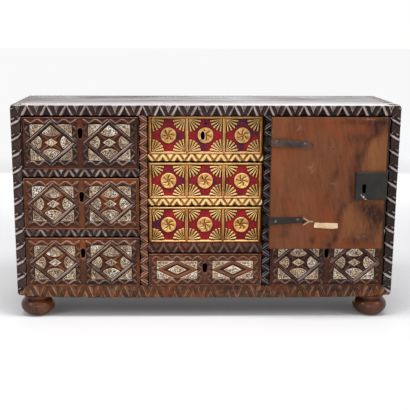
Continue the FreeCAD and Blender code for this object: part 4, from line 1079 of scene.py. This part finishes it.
def turnedFeet():
    # the profile is carried round each foot's upright axis and shut flat at both ends
    radius, height = (np.array(k, dtype=float)[:, None] for k in zip(*feet["profile"]))
    turn = np.linspace(0, 2 * math.pi, feet["around"], endpoint=False)
    index = np.arange(len(radius) * len(turn)).reshape(len(radius), len(turn))
    points, faces, ends = [], [], []
    for cx, cy in feet["centres"]:
        points.append(np.stack([cx + radius * np.cos(turn), cy + radius * np.sin(turn), height + 0 * turn],
                               -1).reshape(-1, 3))
        a, b = index[:-1], index[1:]
        faces.append(np.stack([a, np.roll(a, -1, 1), np.roll(b, -1, 1), b], -1).reshape(-1, 4))
        ends += [index[0, ::-1], index[-1]]
        index = index + index.size
    addMesh("feet", np.concatenate(points), [np.concatenate(faces), np.stack(ends)], turnedWalnut, "case",
            ("bun_feet",), "turned_walnut", smooth=[True, False])


turnedFeet()
print("feet made")

# the world's light is weaker than its look by the share sky; each lamp: place, target, size, power
room = {"floor": tone(238, 238, 240), "white": (1, 1, 1, 1), "horizon": 0.94, "sky": 0.35,
        "corners": [(-8, -4, 0), (8, -4, 0), (8, 30, 0), (-8, 30, 0)],
        "lamps": {"left_box": ((-2.1, -1.5, 1.5), (0, 0, 0.3), (0.8, 1.2), 16.0),
                  "right_box": ((2.2, -1.4, 1.5), (0, 0, 0.3), (0.8, 1.2), 13.0),
                  "overhead": ((0.0, -0.75, 2.3), (0, 0, 0.3), (2.0, 0.7), 44.0),
                  "low_box": ((0.0, -2.8, 0.3), (0, 0, 0.05), (2.4, 0.4), 15.0),
                  "back_box": ((0.0, 2.3, 0.5), (0, 0.2, 0), (2.6, 0.6), 26.0)}}


def paleFloor():
    # seen by the camera it fades with distance into the white of the background
    paint = Paint("floor")
    spot = paint.node("TexCoord", output="Object")
    away = paint.node("VectorMath", {"operation": "LENGTH"}, {0: spot}, "Value")
    seen = paint.node("LightPath", output="Is Camera Ray")
    diffuse = paint.node("BsdfDiffuse", None, {"Color": room["floor"]})
    white = paint.node("Emission", None, {"Color": room["white"], "Strength": room["horizon"]})
    return paint.close(paint.node("MixShader", None,
                                  {0: paint.fit(away, 0.7, 3.2) * seen, 1: diffuse, 2: white}))


floorMesh = bpy.data.meshes.new("floor")
floorMesh.from_pydata(room["corners"], [], [(0, 1, 2, 3)])
floorMesh.materials.append(paleFloor())
floor = bpy.data.objects.new("floor", floorMesh)
bpy.context.scene.collection.objects.link(floor)

# the world is white to the camera and in reflections, and dimmer as a light
air = Paint("studio", bpy.data.worlds)
camera, glossy, through = (air.node("LightPath", output=k)
                           for k in ("Is Camera Ray", "Is Glossy Ray", "Is Transmission Ray"))
strength = air.fit(air.most(air.most(camera, glossy), through), 0.0, 1.0, room["sky"], 1.0)
sky = air.node("Background", None, {"Color": room["white"], "Strength": strength})
bpy.context.scene.world = air.close(sky, "OutputWorld")

for name, (place, target, size, power) in room["lamps"].items():
    data = bpy.data.lights.new(name, "AREA")
    data.shape, data.size, data.size_y, data.energy = "RECTANGLE", *size, power
    light = bpy.data.objects.new(name, data)
    aim = (Vector(target) - Vector(place)).to_track_quat("-Z", "Y").to_matrix().to_4x4()
    light.matrix_world = Matrix.Translation(place) @ aim
    bpy.context.scene.collection.objects.link(light)

# the camera stands at from, in case millimetres, looks down and is turned and rolled by degrees
view = {"from": (-85.5, -2356.5, 700.1), "down": 14.06, "turn": 0.763, "roll": 0.135, "lens": 80.50,
        "shift": (0.0496, 0.1223), "sensor": 36.0}
lens = bpy.data.cameras.new("camera")
lens.sensor_fit, lens.sensor_width, lens.lens = "HORIZONTAL", view["sensor"], view["lens"]
lens.shift_x, lens.shift_y = view["shift"]
pitch, yaw, roll = (math.radians(view[k]) for k in ("down", "turn", "roll"))
ahead = Vector((math.sin(yaw) * math.cos(pitch), math.cos(yaw) * math.cos(pitch), -math.sin(pitch)))
right = Vector((math.cos(yaw), -math.sin(yaw), 0))
up = right.cross(ahead)
axes = right * math.cos(roll) + up * math.sin(roll), up * math.cos(roll) - right * math.sin(roll), -ahead
camera = bpy.data.objects.new("camera", lens)
camera.matrix_world = Matrix.Translation(toFrame(view["from"])) @ Matrix(axes).transposed().to_4x4()
bpy.context.scene.collection.objects.link(camera)
bpy.context.scene.camera = camera
bpy.context.scene.view_settings.view_transform = "Standard"

print("scene ready")
